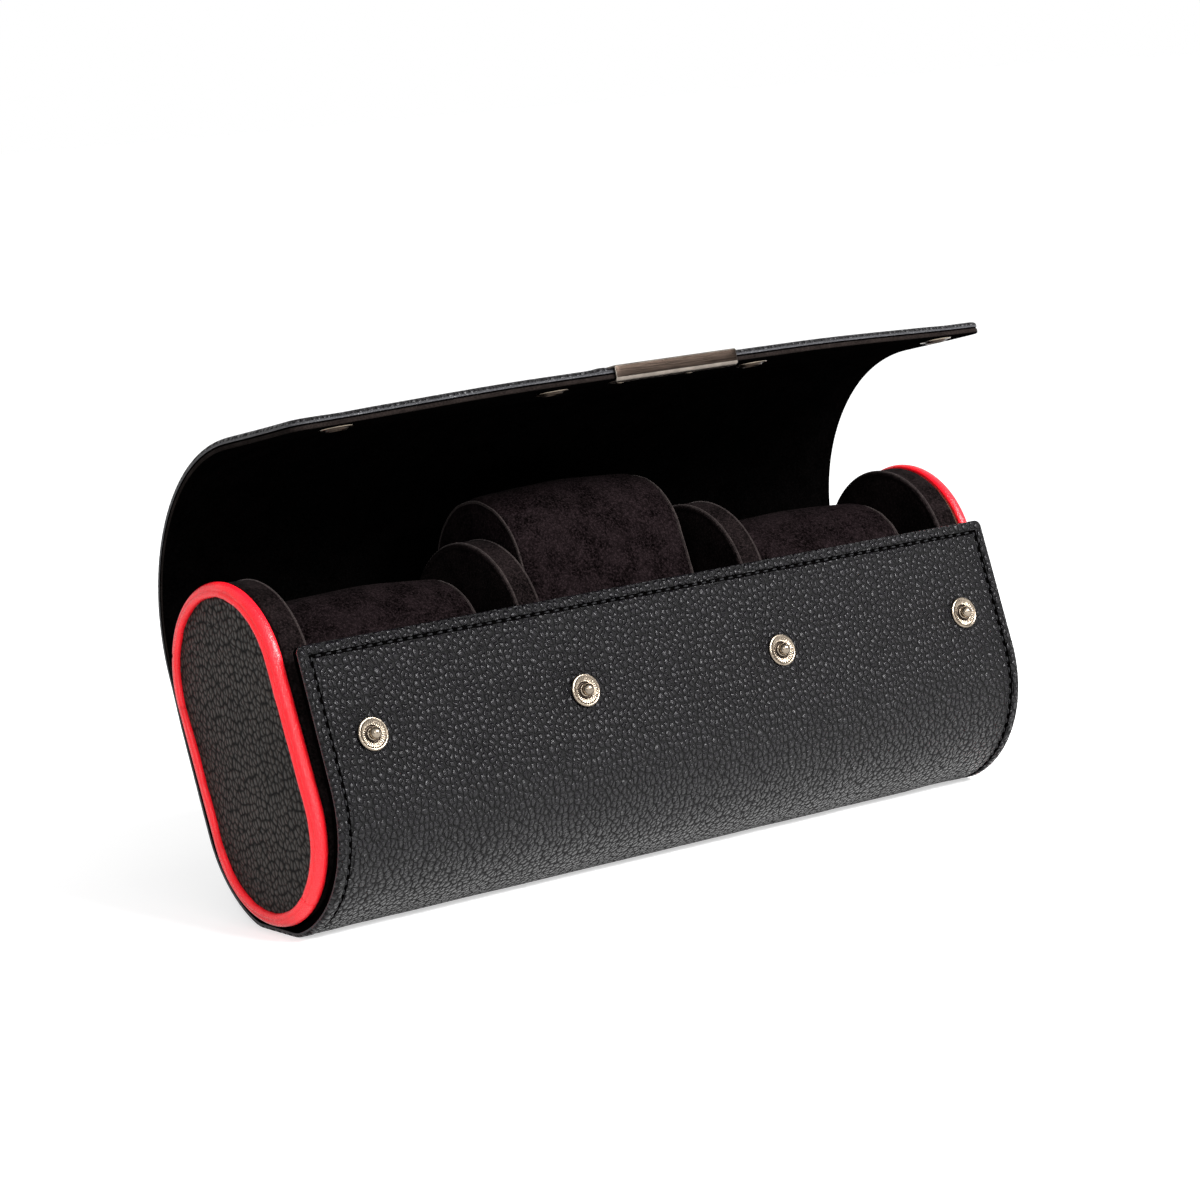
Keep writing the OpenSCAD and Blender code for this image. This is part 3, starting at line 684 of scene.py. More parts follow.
    def cap_ends(self, shape, out0, in0):
        """Closes the section where the next piece goes on."""
        cols = len(self.xs)
        for free, row, s in ((self.free_start, 0, self.s0), (self.free_end, len(self.ss) - 1, self.s1)):
            if free:
                continue
            sides = []
            for side in (1, -1):
                inside, depth = np.array(EDGE_PROFILE).T
                px, ps = self.place(side * (WRAP_HALF - inside), np.full(len(inside), s))
                sides.append(on_skin(px, ps, depth + skin_hang(px, ps)))
            base = np.concatenate(shape.points)
            loop = [base[out0 + row * cols + c] for c in range(cols)] + list(sides[0])
            loop += [base[in0 + row * cols + c] for c in range(cols - 1, -1, -1)] + list(sides[1][::-1])
            start = shape.add_points(np.array(loop))
            shape.add_cap(start, len(loop), CUT_EDGE, flat=True)

    def stitch_route(self):
        """Plain-rectangle points along the stitch line, a short step apart."""
        e, step = STITCH_E, 0.4
        lo = self.s0 + (e if self.free_start else 0)
        hi = self.s1 - (e if self.free_end else 0)
        down = [(-WRAP_HALF + e, b) for b in spread(hi, lo, step)]
        up = [(WRAP_HALF - e, b) for b in spread(lo, hi, step)]
        across = spread(-WRAP_HALF + e, WRAP_HALF - e, step)
        if self.free_start:
            return [down + [(a, lo) for a in across[1:-1]] + up]
        if self.free_end:
            return [up + [(a, hi) for a in across[-2:0:-1]] + down]
        return [down, up]

    def add_stitches(self, shape):
        """Whole stitches along each route, with their pitch fitted to its length."""
        for route in self.stitch_route():
            a, b = np.array(route).T
            x, s = self.place(a, b)
            run = run_length(x, s)
            count = int(run[-1] / STITCH_PITCH)
            pitch = run[-1] / max(count, 1)
            for k in range(count):
                middle = (k + 0.5) * pitch
                tips = [[float(np.interp(middle + d, run, v)) for v in (a, b)]
                        for d in (-STITCH_HALF, STITCH_HALF)]
                self.add_stitch(shape, *tips)

    def add_stitch(self, shape, first, last):
        """One stitch: a short bowed bar of thread that dips into its two holes."""
        around, along = 8, 7
        t = np.linspace(0, 1, along)
        a = first[0] + (last[0] - first[0]) * t
        b = first[1] + (last[1] - first[1]) * t
        x, s = self.place(a, b)
        depth = self.outer_depth(a, b) - STITCH_RISE + STITCH_DIP * np.abs(2 * t - 1) ** 3
        centre = on_skin(x, s, depth + skin_hang(x, s))
        axis = centre[-1] - centre[0]
        axis = axis / np.linalg.norm(axis)
        inward = skin_axes(float(s[along // 2]))[2]
        side = np.cross(axis, inward)
        side = side / np.linalg.norm(side)
        outward = np.cross(side, axis)
        radius = STITCH_R * np.sqrt(np.clip(1 - (2 * t - 1) ** 6, 0.04, 1))
        turn = np.arange(around) * 2 * math.pi / around
        ring = np.cos(turn)[None, :, None] * side + np.sin(turn)[None, :, None] * outward
        points = centre[:, None, :] + radius[:, None, None] * ring
        start = shape.add_grid(points, None, THREAD, close_cols=True)
        shape.add_cap(start, around, THREAD)
        shape.add_cap(start + (along - 1) * around, around, THREAD)


def skin_materials(lining_edge):
    """The seven materials of a skin, in the order of LEATHER to GROOVE."""
    return [pebbled_leather, edge_leather, black_suede_and_painted_shade, lining_edge, black_suede_and_painted_shade, black_thread,
            black_suede_and_painted_shade]


def build_wrap():
    """Front panel, bottom and back wall in one piece."""
    shape = Shape()
    SkinPiece(PANEL_TOP_S, WRAP_END_S, free_start=True, corner=PANEL_CORNER_R).build_into(shape)
    # The wrap's suede edges get the near-black suede, as painted shade of the gaps round them beside each
    # disc's band.
    piece = shape.build("wrap_skin", skin_materials(black_suede_and_painted_shade))
    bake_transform(piece)
    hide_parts("shell_leather", "shell_lining", "panel_leather", "panel_lining")


def build_lid():
    """The lid's eight pieces, each from half a strip before a bending line to half a strip after it, the
    last one on to the free edge.
    """
    for k in range(1, STRIPS + 2):
        s0, s1 = (k - 1.5) * STRIP, (k - 0.5) * STRIP
        last = k == STRIPS + 1
        shape = Shape()
        SkinPiece(s0, LID_TOTAL if last else s1, free_end=last,
                  corner=LID_CORNER_R if last else 0.0).build_into(shape)
        piece = shape.build(f"lid_skin_{k}", skin_materials(edge_suede))
        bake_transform(piece)
        if last:
            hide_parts("flap_leather", "flap_lining")
        else:
            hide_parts(f"lid_leather_{k}", f"lid_lining_{k}")


# ---- discs and dividers ---------------------------------------------------------------------

def rim_length(r, half):
    """Length round a stadium of radius r whose spine reaches half up and half down."""
    return 2 * (math.pi * r + 2 * half)


def rim_samples(lengths, r, half):
    """At lengths round a stadium: height on the spine, direction from it, and the lengths."""
    arc = math.pi * r
    part = lengths % (arc + 2 * half)
    flip = np.where(lengths >= arc + 2 * half, -1.0, 1.0)
    angle = np.minimum(part, arc) / r
    spine = flip * (half - np.maximum(part - arc, 0))
    return spine, flip * np.cos(angle), flip * np.sin(angle), lengths


def disc_loop(step, extra=()):
    """Samples round a disc's rim, a step apart, with some extra ones."""
    even = np.arange(0, rim_length(DISC_R, DISC_HALF) - step / 2, step)
    return rim_samples(np.unique(np.round(np.concatenate([even, extra]), 4)), DISC_R, DISC_HALF)


def stadium_points(loop, r, x):
    """Points at radius r from the spine and at x. Both may vary along the profile and the rim."""
    spine, dy, dz, _ = loop
    r, x = np.broadcast_arrays(r, x)
    return np.stack([x, r * dy, spine + r * dz], -1)


def add_stadium(shape, loop, profile, side, centre_x=0, material=0):
    """Sweeps a profile of (radius, distance along X) round the stadium."""
    profile = np.array(profile, float)
    r = profile[:, :1] + 0 * loop[3]
    x = side * (centre_x + profile[:, 1:2]) + 0 * loop[3]
    shape.add_grid(stadium_points(loop, r, x), None, material, close_cols=True)


# A disc's face from its middle to its rim, as (radius, height above the face): dome, groove,
# sewn welt and the turned edge
FACE_PROFILE = [(0.0, 0.0), (6.0, 0.0), (12.0, 0.0), (17.0, 0.0), (20.5, 0.0), (22.6, 0.0), (23.6, -0.05),
                (24.2, -0.30), (24.5, -0.48), (24.75, -0.50), (24.95, -0.34), (25.1, -0.04), (25.35, 0.24),
                (25.7, 0.36), (26.05, 0.30), (26.3, 0.10), (26.42, -0.12)]
RIM_LINE = [FACE_PROFILE[-1], (26.5, -0.20), (26.68, -0.30), (26.8, -0.50), (26.76, -0.72), (26.6, -0.86)]


def faced(profile, x, way):
    """A disc's face profile set at x, facing along X or against it."""
    return [(r, x + way * h) for r, h in profile]


def build_divider(side, name):
    """A divider's suede cover: two faces and the rim between their sewn edges."""
    half = DIVIDER_T / 2
    rim = [(26.6, half - 0.86), (26.55, 2.4), (26.62, 1.2), (26.65, 0.0), (26.62, -1.2), (26.55, -2.4),
           (26.6, -half + 0.86)]
    parts = [(faced(FACE_PROFILE, half, 1), 0), (faced(RIM_LINE, half, 1), 1), (rim, 0),
             (faced(RIM_LINE, -half, -1), 1), (faced(FACE_PROFILE, -half, -1), 0)]
    loop = disc_loop(1.1)
    shape = Shape()
    for profile, material in parts:
        add_stadium(shape, loop, profile, side, DIVIDER_X, material)
    piece = shape.build(f"divider_cover_{name}", [disc_suede, rim_line], weld=0.02)
    attach(piece, "shell_body", "suede", f"divider_suede_{name}")


def build_end(side, name):
    """An end disc's suede cover, closed behind the end leather, with that leather and the band."""
    disc_in = DISC_OUT - DISC_T
    band_from = DISC_OUT - BAND_DEPTH
    behind = band_from + 0.6
    rim = [(26.6, disc_in + 0.86), (26.55, disc_in + 2.6), (26.62, disc_in + 4.6), (26.6, band_from - 0.5),
           (26.35, band_from - 0.1), (25.6, band_from + 0.15), (25.3, behind)]
    parts = [(faced(FACE_PROFILE, disc_in, -1), 0), (faced(RIM_LINE, disc_in, -1), 1), (rim, 0),
             ([(25.3, behind), (24.0, behind), (12.0, behind), (0.0, behind)], 0)]
    loop = disc_loop(1.1)
    shape = Shape()
    for profile, material in parts:
        add_stadium(shape, loop, profile, side, 0, material)
    piece = shape.build(f"end_cover_{name}", [disc_suede, rim_line], weld=0.02)
    attach(piece, "shell_body", "suede", f"end_suede_{name}")
    build_end_face(side, name)
    build_band(side, name)


FACE_PUFF = 0.75         # how far the end's padded leather stands out in its middle
FACE_EDGE_R = 24.0


def build_end_face(side, name):
    """The end's pebbled leather: a padded face whose edge dips under the band."""
    loop = disc_loop(1.3)
    face = DISC_OUT - 0.35
    radii = np.concatenate([[0, 3], spread(5, 19, 2.0), [20.4, 21.6, 22.4, 23.0, 23.5, 23.9]])
    puff = FACE_PUFF * (1 - (radii / FACE_EDGE_R) ** 2) ** 0.8
    r = radii[:, None] + 0 * loop[3]
    points = stadium_points(loop, r, side * (face + puff[:, None] + 0 * loop[3]))
    points[..., 0] += side * 0.10 * waves(points[..., 1], points[..., 2], 8, 17)
    shape = Shape()
    grain = np.stack([points[..., 1], points[..., 2], 0 * points[..., 0] + 3], -1)
    shape.add_grid(points, grain, 0, close_cols=True)
    back = [(23.9, face), (23.8, face - 0.5), (22.0, face - 0.7), (0.0, face - 0.7)]
    add_stadium(shape, loop, back, side)
    piece = shape.build(f"end_leather_{name}", [disc_leather], weld=0.02)
    attach(piece, "shell_body", "disc_leather", f"end_face_{name}")


BAND_SEAM = {-1: 0.62, 1: 0.35}    # share of the way round the rim where each end's band is joined
BAND_NICK = 0.06         # and where it has a small nick
# The band's closed profile, from its rim side over the face and back: radius, distance along X
# from its inner side, and share of the irregular inner edge
BAND_PROFILE = [(25.5, 0.25, 0), (26.45, 0.02, 0), (26.8, 0.12, 0), (27.12, 0.40, 0), (27.34, 0.8, 0),
                (27.42, 1.2, 0), (27.40, 1.6, 0), (27.29, 2.1, 0), (27.06, 2.6, 0), (26.76, 3.0, 0),
                (26.42, 3.30, 0), (26.05, 3.48, 0), (25.75, 3.50, 0), (25.52, 3.44, 0), (25.34, 3.50, 0),
                (25.15, 3.68, 0), (24.9, 3.84, 0), (24.6, 3.92, 0.1), (24.3, 3.90, 0.4),
                (24.0, 3.78, 0.7), (23.75, 3.58, 0.9), (BAND_IN_R, 3.3, 1), (23.53, 2.9, 1),
                (23.55, 2.3, 1), (24.4, 1.6, 0)]


def build_band(side, name):
    """The coloured band: a bead round the side, a crease, and a strip on the face."""
    total = rim_length(DISC_R, DISC_HALF)
    seam = total * BAND_SEAM[side]
    nick = total * BAND_NICK
    cluster = np.concatenate([c + np.linspace(-1.2, 1.2, 17) for c in (seam, nick)])
    loop = disc_loop(0.9, cluster)
    run = loop[3]
    ripple = 0.10 * waves(run, 0 * run, 21 + side, 9) + 0.05 * waves(run, 0 * run, 23 + side, 3.5)
    cut = 0.26 * bump_at(run - seam, 0.28)
    gap = 0.35 * bump_at(run - nick, 0.55)
    x0 = DISC_OUT - BAND_DEPTH + BAND_PROUD
    rows = []
    for r, along, inner in BAND_PROFILE:
        x = x0 + along
        rise = smoothstep((r - 25.5) / 0.8)
        radius = r + inner * ripple * 1.6 - cut * rise - gap * rise
        out = x - cut * (1 - rise) * (inner < 1) * (x > x0 + 3)
        rows.append(stadium_points(loop, radius, side * out))
    points = np.array(rows)
    around = np.broadcast_to(run, points.shape[:2])
    across = np.broadcast_to(np.arange(len(rows))[:, None] * 0.45, points.shape[:2])
    shape = Shape()
    shape.add_grid(points, np.stack([around, across, 0 * around], -1), 0, close_rows=True, close_cols=True)
    piece = shape.build(f"band_{name}", [red_leather])
    attach(piece, "shell_body", "red_leather", f"end_band_{name}")


# ---- cushions and padding -------------------------------------------------------------------

# From the middle of a cushion to one end, as (distance along X, draw-in): crown, drawn-in
# end, seam cord, and the domed end
CUSHION_SIDE = [(0, -0.65), (5, -0.62), (10, -0.52), (14, -0.36), (17, -0.18), (20, 0.02), (22.2, 0.20),
                (24, 0.38), (25.4, 0.58), (26.4, 0.82), (27.1, 1.08), (27.6, 1.38), (27.85, 1.70)]
CUSHION_CORD = [(27.92, 1.62), (28.02, 1.38), (28.22, 1.26), (28.44, 1.34), (28.56, 1.58), (28.56, 1.86)]
CUSHION_END = [(28.5, 2.05), (28.6, 2.5), (28.75, 3.3), (28.92, 4.6), (29.04, 6.5), (29.12, 9), (29.18, 12),
               (29.2, 16), (29.22, 19), (29.22, 22.0)]


def cushion_loop(step):
    """Samples round a cushion's section, about a step apart."""
    half = CUSHION_H / 2 - CUSHION_R
    total = rim_length(CUSHION_R, half)
    return rim_samples(np.linspace(0, total, int(total / step), endpoint=False), CUSHION_R, half)


def cushion_stations():
    """(x, draw-in, kind) from end to end, where kind 0 is the side, 1 a cord and 2 an end."""
    half = [(x, d, 0) for x, d in CUSHION_SIDE] + [(x, d, 1) for x, d in CUSHION_CORD]
    half += [(x, d, 2) for x, d in CUSHION_END]
    return [(-x, d, kind) for x, d, kind in half[:0:-1]] + half


def build_cushion(name, centre_x, lift, seed):
    """A cushion's suede cover, wrinkled towards its ends, with a cord along each end's seam."""
    spine, dy, dz, run = cushion_loop(1.2)
    turn = run / (run[-1] + run[1]) * 2 * math.pi
    stations = cushion_stations()
    rows = []
    for x, draw, kind in stations:
        near_end = bump_at(29 - abs(x), 5.5)
        wrinkle = 0.22 * near_end * waves(np.cos(turn) * 40, np.sin(turn) * 40 + x * 0.6, seed, 7.5)
        body = 0.16 * waves(np.cos(turn) * 40, np.sin(turn) * 40 + x * 1.3, seed + 1, 26)
        keep = 1.0 if kind == 0 else 0.35
        fade = smoothstep((CUSHION_R - draw) / 8)
        r = CUSHION_R - draw + (wrinkle + body) * keep * fade
        sag = 0.05 * waves(spine + 8 * dz, r * dy, seed + 2, 15) * (1 - fade * 0.3) * (kind == 2)
        xs = centre_x + x + np.sign(x) * sag
        z = CUSHION_TOP - CUSHION_H / 2 + lift + spine + r * dz
        rows.append(np.stack([xs + 0 * r, r * dy, z], -1))
    shape = Shape()
    start = shape.add_points(np.array(rows))
    cols = len(run)
    for k in range(len(rows) - 1):
        corded = 1 in (stations[k][2], stations[k + 1][2])
        shape.add_faces(quads(start + k * cols, 2, cols, close_cols=True), 1 if corded else 0)
    piece = shape.build(f"cushion_{name}_body", [cushion_suede, rim_line], weld=0.03)
    attach(piece, f"cushion_{name}", "suede", f"cushion_cover_{name}", f"cushion_core_{name}")


BED_TOP = -24.2          # how high the padding reaches in front, and at the back between discs
BLOCK_TOP = 11.8         # how high it reaches behind a disc or a divider
PADDING_ENDS = [(0, 0.25), (0.25, 0.1), (0.8, 0)]   # (distance from an end, draw-in) of a block


def padding_section(back_top):
    """Points of the crescent between the lining and the discs, up to that height at the back."""
    front = SKIN_S < PANEL_BEND_S + 50
    back = (SKIN_S > PANEL_BEND_S + 55) & (SKIN_S < 0)
    s_front = float(np.interp(-BED_TOP, -SKIN_Z[front], SKIN_S[front]))
    s_back = float(np.interp(back_top, SKIN_Z[back], SKIN_S[back]))
    ss = spread(s_front, s_back, 2.0)
    outer = on_skin(0 * ss, ss, WALL_T + 0.12)[:, 1:]
    spine = np.clip(outer[:, 1], -DISC_HALF, DISC_HALF)
    away = outer - np.stack([0 * spine, spine], -1)
    length = np.hypot(*away.T)
    inner = outer - away * ((length - DISC_R - 0.1).clip(0.05) / length)[:, None]
    t = np.array([0, 0.06, 0.25, 0.5, 0.75, 0.94, 1.0])
    return outer[:, None] + (inner - outer)[:, None] * t[None, :, None]


def add_padding(shape, x0, x1, top):
    """One block of padding from x0 to x1, a little drawn in at its ends."""
    grid = padding_section(top)
    rows, cols = grid.shape[:2]
    loop = [(r, 0) for r in range(rows)] + [(rows - 1, c) for c in range(1, cols)]
    loop += [(r, cols - 1) for r in range(rows - 2, -1, -1)] + [(0, c) for c in range(cols - 2, 0, -1)]
    outline = np.array([grid[r, c] for r, c in loop])
    middle = np.array([(grid[r, 0] + grid[r, -1]) / 2 for r, _ in loop])
    stations = [(x0 + d, k) for d, k in PADDING_ENDS] + [(x1 - d, k) for d, k in PADDING_ENDS[::-1]]
    sections = []
    for x, draw in stations:
        flat = outline + (middle - outline) * draw
        sections.append(np.column_stack([np.full(len(flat), x), flat]))
    start = shape.add_grid(np.array(sections), None, 0, close_cols=True)
    shape.add_cap(start, len(loop))
    shape.add_cap(start + (len(stations) - 1) * len(loop), len(loop))


def build_padding():
    """Padding between the lining and the discs: a bed along the bottom and blocks at the back."""
    shape = Shape()
    pad_end = DISC_OUT - BAND_DEPTH - 1
    half = DIVIDER_T / 2
    add_padding(shape, -pad_end, pad_end, BED_TOP)
    for side in (-1, 1):
        for near, far in ((DISC_OUT - DISC_T, pad_end), (DIVIDER_X - half, DIVIDER_X + half)):
            x0, x1 = sorted((side * near, side * far))
            add_padding(shape, x0, x1, BLOCK_TOP)
    # The padding gets the near-black suede, as painted shade of the gaps between the wrap and the discs.
    piece = shape.build("bed_padding", [black_suede_and_painted_shade])
    attach(piece, "shell_body", "padding", "bed_pad")


# ---- snaps and clip -------------------------------------------------------------------------

def add_lathe(shape, profile, origin, axes, around=72, flutes=None, dull=(0, 0)):
    """Turns a profile of (radius, height) about an axis. flutes(radius, angle) adds height.

    The bands of the profile from the first to the last index of dull get the second material, darker as
    painted shade.
    """
    right, along, axis = axes
    turn = np.arange(around) * 2 * math.pi / around
    rows = []
    for r, h in profile:
        height = h + (flutes(r, turn) if flutes else 0 * turn)
        ring = np.cos(turn)[:, None] * right + np.sin(turn)[:, None] * along
        rows.append(origin + r * ring + height[:, None] * axis)
    start = shape.add_points(np.array(rows))
    for k in range(len(rows) - 1):
        band = quads(start + k * around, 2, around, close_cols=True)
        shape.add_faces(band, 1 if dull[0] <= k < dull[1] else 0)


STUD_PROFILE = [(0.0, -0.3), (3.9, -0.3), (4.35, -0.15), (4.55, 0.1), (4.6, 0.35), (4.5, 0.58),
                (4.3, 0.72), (4.05, 0.74), (3.85, 0.62), (3.74, 0.44), (3.6, 0.36), (3.3, 0.32),
                (3.0, 0.28), (2.7, 0.26), (2.45, 0.26), (2.32, 0.18), (2.22, -0.05), (2.0, -0.12),
                (1.86, 0.05), (1.8, 0.40), (1.7, 0.55), (1.5, 0.60), (1.36, 0.62), (1.27, 0.75)]
# These bands get the darker nickel as painted shade.
STUD_DULL_PAINTED_SHADE = (14, 19)     # the bands of the profile that lie in the ring round the ball
SOCKET_PROFILE = [(0.0, -1.45), (2.0, -1.45), (2.02, 0.45), (2.1, 0.72), (2.35, 0.95), (2.75, 1.0),
                  (3.05, 0.82), (3.15, 0.55), (3.25, 0.38), (3.5, 0.32), (3.9, 0.34), (4.15, 0.42),
                  (4.4, 0.40), (4.55, 0.22), (4.5, 0.02), (4.3, -0.1), (2.7, -0.12), (2.65, -1.7),
                  (0.0, -1.7)]
# These bands get the darker nickel as painted shade.
SOCKET_DULL_PAINTED_SHADE = (0, 12)    # the bands of its bore, of the ring round it and of the dish
SNAP_BORE_R = 1.55       # the spring wires lie this far from a socket's middle
WIRE_R = 0.16


def stud_flutes(r, turn):
    """Fine radial ribs on the dished part of a stud's flange."""
    share = smoothstep((r - 2.3) / 0.35) * smoothstep((3.8 - r) / 0.35)
    return 0.17 * share * np.cos(32 * turn)


def ball_profile(r, centre, neck, count=14):
    """A ball above its neck, from the neck to the top."""
    low = -math.acos(neck / r)
    return [(r * math.cos(a), centre + r * math.sin(a)) for a in np.linspace(low, math.pi / 2, count)]


def build_studs():
    """Four snap studs, each a dished flange with a ball in a ring."""
    shape = Shape()
    right, along, inward = skin_axes(STUD_S)
    for x in SNAP_XS:
        origin = skin_point(x, STUD_S, 0.0)
        profile = STUD_PROFILE + ball_profile(1.7, 1.32, 1.22)
        add_lathe(shape, profile, origin, (right, along, -inward), 144, stud_flutes, STUD_DULL_PAINTED_SHADE)
    piece = shape.build("stud_caps", [nickel, dull_nickel_painted_shade], weld=0.01)
    attach(piece, "front_panel", "nickel", "snap_studs")


def add_wire(shape, origin, axes, way):
    """One of a socket's two spring wires, bowed towards the middle of its bore."""
    right, along, inward = axes
    steps, around = 15, 8
    centre = origin + way * SNAP_BORE_R * right + 0.3 * inward
    t = np.linspace(-1, 1, steps)
    path = centre + t[:, None] * 1.35 * along + way * 0.25 * (1 - t ** 2)[:, None] * -right
    turn = np.arange(around) * math.pi / 4
    ring = np.cos(turn)[:, None] * right + np.sin(turn)[:, None] * inward
    start = shape.add_grid(path[:, None] + WIRE_R * ring[None], None, 0, close_cols=True)
    shape.add_cap(start, around)
    shape.add_cap(start + (steps - 1) * around, around)


def build_sockets():
    """Sockets on the lining: a flange, a raised ring and the spring wires across the bore."""
    shape = Shape()
    axes = skin_axes(SOCKET_S)
    for x in SNAP_XS:
        origin = skin_point(x, SOCKET_S, WALL_T + float(skin_hang(x, SOCKET_S)))
        add_lathe(shape, SOCKET_PROFILE, origin, axes, 96, None, SOCKET_DULL_PAINTED_SHADE)
        for way in (-1, 1):
            add_wire(shape, origin, axes, way)
    piece = shape.build("socket_caps", [nickel, dull_nickel_painted_shade], weld=0.01)
    attach(piece, "flap", "nickel", "snap_sockets")


def corner(cs, cd, r, a0, a1, n=6):
    """Points round a corner of the clip's section, about (cs, cd), from angle a0 to a1."""
    angles = np.radians(np.linspace(a0, a1, n))
    return [(cs + r * math.cos(a), cd + r * math.sin(a)) for a in angles]


def clip_section():
    """Points (s, depth) round the folded sheet, and the numbers of those where web and lip end."""
    edge, t, r, low_r = LID_TOTAL, CLIP_T, 0.5, 1.5
    section = corner(edge - CLIP_FLANGE + 0.3, -t + 0.3, 0.3, 180, 270, 4)
    section += corner(edge + t - r, -t + r, r, 270, 360)
    web_end = len(section) + 1
    section += corner(edge + t - low_r, WALL_T + t - low_r, low_r, 0, 90, 9)
    lip_end = len(section) + 2
    section += corner(edge - CLIP_LIP + t / 2, WALL_T + t / 2, t / 2 - 0.02, 90, 270, 7)
    section += corner(edge - 0.25, WALL_T - 0.27, 0.25, 90, 0, 4)
    section += corner(edge - 0.25, 0.27, 0.25, 0, -90, 4)
    section += [(edge - CLIP_FLANGE + 0.3, 0.02), (edge - CLIP_FLANGE + 0.08, -0.1)]
    return np.array(section), web_end, lip_end


def clip_middle(section):
    """For each point of the section, the nearest point half way through the sheet."""
    bend, low = LID_TOTAL + CLIP_T / 2, WALL_T + CLIP_T / 2
    middle = section.copy()
    for i, (s, d) in enumerate(section):
        flange = (min(s, bend), -CLIP_T / 2)
        under = (min(max(s, LID_TOTAL - CLIP_LIP + CLIP_T / 2), bend), low)
        web = (bend, min(max(d, -CLIP_T / 2), low))
        middle[i] = min((flange, under, web), key=lambda q: math.dist(q, (s, d)))
    return middle


# (distance from an end, draw-in towards the sheet's middle) of the clip's bevelled ends
CLIP_ENDS = [(0, 0.55), (0.06, 0.3), (0.2, 0.1), (0.4, 0)]


def build_clip():
    """Channel folded over the free edge, with bevelled ends."""
    section, web_end, lip_end = clip_section()
    middle = clip_middle(section)
    ends = [(-CLIP_HALF + d, k) for d, k in CLIP_ENDS]
    inside = [(x, 0) for x in np.linspace(-CLIP_HALF + 2, CLIP_HALF - 2, 25)]
    stations = ends + inside + [(-x, k) for x, k in ends[::-1]]
    rows = []
    for x, shrink in stations:
        q = section + (middle - section) * shrink
        rows.append(on_skin(np.full(len(q), x), q[:, 0], q[:, 1]))
    shape = Shape()
    start = shape.add_points(np.array(rows))
    n, last = len(section), len(stations) - 1
    worn = [*range(4, 8), *range(web_end, lip_end)]   # the upper fold, the lower fold and the lip
    for face in quads(start, len(stations), n, close_cols=True):
        station, k = divmod(face[0] - start, n)
        shape.add_faces([face], 1 if k in worn or not 2 <= station < last - 2 else 0)
    shape.add_cap(start, n, 1)
    shape.add_cap(start + last * n, n, 1)
    piece = shape.build("edge_clip_sheet", [gunmetal, worn_gunmetal])
    attach(piece, "flap", "gunmetal", "edge_clip")


def build_rivets():
    """Two small rivets that hold the clip, each with a domed head on the lining."""
    shape = Shape()
    s = LID_TOTAL - CLIP_RIVET_S
    axes = skin_axes(s)
    tail = -WALL_T - CLIP_T
    profile = [(0.0, tail - 0.12), (0.5, tail - 0.1), (0.85, tail - 0.02), (0.85, 0.0), (1.4, 0.0),
               (1.42, 0.16), (1.25, 0.36), (0.9, 0.52), (0.5, 0.6), (0.0, 0.63)]
    for x in (-CLIP_RIVET_X, CLIP_RIVET_X):
        origin = skin_point(x, s, WALL_T)
        add_lathe(shape, profile, origin, axes, 40)
    piece = shape.build("clip_rivet_heads", [nickel], weld=0.01)
    attach(piece, "flap", "nickel", "clip_rivets")


# ---- CAD nodes that stay --------------------------------------------------------------------

def dress_frame():
    """Materials for the boards, cores and shanks, which stay as they are inside the covers."""
    for name, node in frame["nodes"].items():
        if name in ("shell_board", "panel_board"):
            material = grey_card
        elif name.startswith(("end_core", "divider_core")):
            material = fibre_board
        elif name == "stud_rivets":
            material = nickel
        else:
            continue
        node.data.materials.clear()
        node.data.materials.append(material)


# ---- stage, light and camera ----------------------------------------------------------------

def seen_white(tree, other, strength):
    """A strength for camera, glossy and transmitted rays, and another one for other rays."""
    paths = shader_node(tree, "LightPath")
    seen = math_node(tree, "MAXIMUM", paths.outputs["Is Camera Ray"], paths.outputs["Is Glossy Ray"])
    seen = math_node(tree, "MAXIMUM", seen, paths.outputs["Is Transmission Ray"])
    return plus(tree, other, times(tree, seen, strength - other))


FLOOR_REACH = 6.0
FLOOR_TONE = 0.62
FLOOR_GLOW = 0.54        # brings the lit floor up to white for the camera
ROOM_LIGHT = 0.58


def add_object(name, data):
    item = bpy.data.objects.new(name, data)
    bpy.context.scene.collection.objects.link(item)
    return item


def build_stage():
    """A pale floor that keeps its shadow, and a plain white room round it."""
    mesh = bpy.data.meshes.new("floor")
    corners = [(x * FLOOR_REACH, y * FLOOR_REACH, 0) for x, y in ((-1, -1), (1, -1), (1, 1), (-1, 1))]
    mesh.from_pydata(corners, [], [(0, 1, 2, 3)])
    floor = add_object("floor", mesh)
    material, tree, bsdf = new_material("white_floor", Roughness=0.9, Specular_IOR_Level=0.0)
    bsdf.inputs["Base Color"].default_value = (FLOOR_TONE, FLOOR_TONE, FLOOR_TONE, 1)
    bsdf.inputs["Emission Color"].default_value = (1, 1, 1, 1)
    tree.links.new(seen_white(tree, 0.0, FLOOR_GLOW), bsdf.inputs["Emission Strength"])
    mesh.materials.append(material)

    world = bpy.data.worlds.new("white_room")
    bpy.context.scene.world = world
    world.use_nodes = True
    tree = world.node_tree
    background = tree.nodes["Background"]
    background.inputs["Color"].default_value = (1, 1, 1, 1)
    tree.links.new(seen_white(tree, ROOM_LIGHT, 1.0), background.inputs["Strength"])


def sun_light(name, toward, spread_deg, strength):
    """A broad soft light, as from a large softbox far off in the direction given."""
    data = bpy.data.lights.new(name, "SUN")
    data.angle = math.radians(spread_deg)
    data.energy = strength
    lamp = add_object(name, data)
    lamp.location = toward
    lamp.rotation_euler = Vector(toward).to_track_quat("Z", "Y").to_euler()


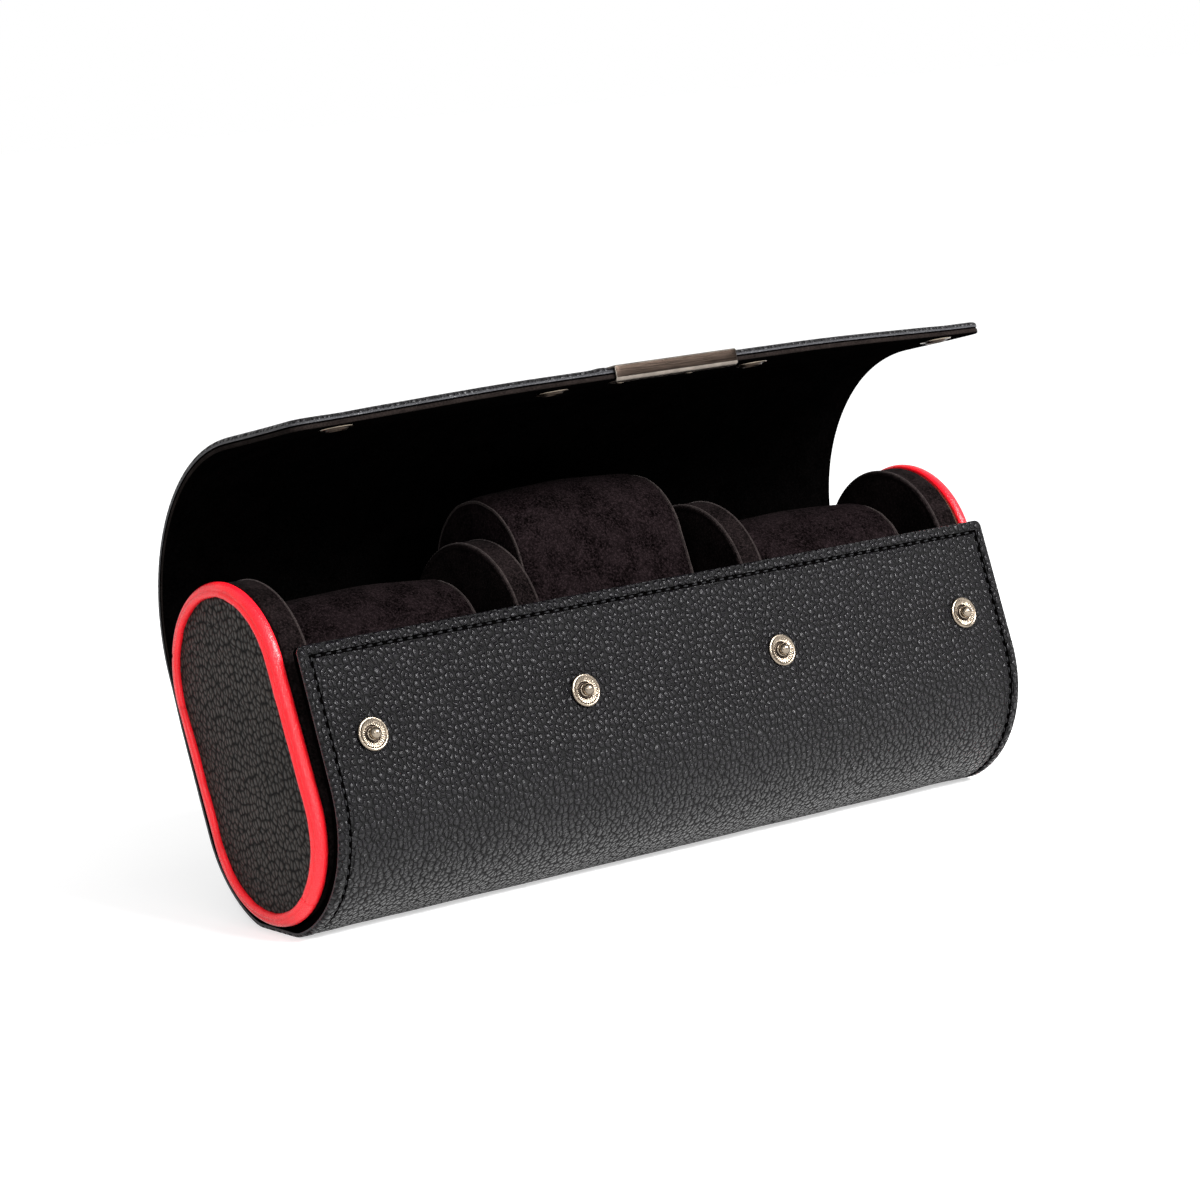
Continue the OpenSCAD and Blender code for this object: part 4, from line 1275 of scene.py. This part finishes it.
def softbox(name, place, target, size, watts):
    """A small square light, seen in the gloss of the leather and the band."""
    data = bpy.data.lights.new(name, "AREA")
    data.shape = "SQUARE"
    data.size = size
    data.energy = watts
    lamp = add_object(name, data)
    lamp.location = place
    lamp.rotation_euler = (Vector(target) - Vector(place)).to_track_quat("-Z", "Y").to_euler()


def build_lights():
    """Two broad lights and three small boxes, set by comparing highlights with the photograph."""
    sun_light("key_light", (0.15, -0.55, 0.82), 30, 0.35)
    sun_light("fill_light", (-0.38, -0.84, 0.34), 40, 0.75)
    softbox("right_box", (0.40, -0.80, 0.64), (-0.04, 0, 0.07), 0.30, 25.0)
    softbox("front_box", (0.12, -0.85, 0.80), (-0.06, 0, 0.07), 0.28, 13.0)
    softbox("left_box", (-0.66, -0.66, 0.50), (-0.10, 0, 0.07), 0.12, 2.2)


CAMERA_PLACE = Vector((-0.62677, -0.83397, 0.24005))
CAMERA_RIGHT = Vector((0.79395, -0.60423, -0.06716))
CAMERA_UP = Vector((0.14935, 0.08678, 0.98497))
CAMERA_LENS = 112.6      # mm, for a sensor 36 mm wide


def build_camera():
    """The camera that was fitted to the photograph."""
    data = bpy.data.cameras.new("camera")
    data.lens = CAMERA_LENS
    data.sensor_width = 36.0
    camera = add_object("camera", data)
    turn = Matrix((CAMERA_RIGHT, CAMERA_UP, CAMERA_RIGHT.cross(CAMERA_UP))).transposed()
    camera.matrix_world = Matrix.Translation(CAMERA_PLACE) @ turn.to_4x4()
    bpy.context.scene.camera = camera


build_camera()
build_wrap()
build_lid()
for end_side, end_name in ((-1, "left"), (1, "right")):
    build_end(end_side, end_name)
    build_divider(end_side, end_name)
disc_face = DISC_OUT - DISC_T
build_cushion("left", -disc_face + 1.6 + CUSHION_LEN / 2, 0, 31)
build_cushion("middle", -DIVIDER_X + DIVIDER_T / 2 + 1 + CUSHION_LEN / 2, CUSHION_LIFT, 41)
build_cushion("right", DIVIDER_X + DIVIDER_T / 2 + 1 + CUSHION_LEN / 2, 0, 51)
build_padding()
build_studs()
build_sockets()
build_clip()
build_rivets()
dress_frame()
build_stage()
build_lights()
bpy.context.scene.view_settings.view_transform = "Standard"
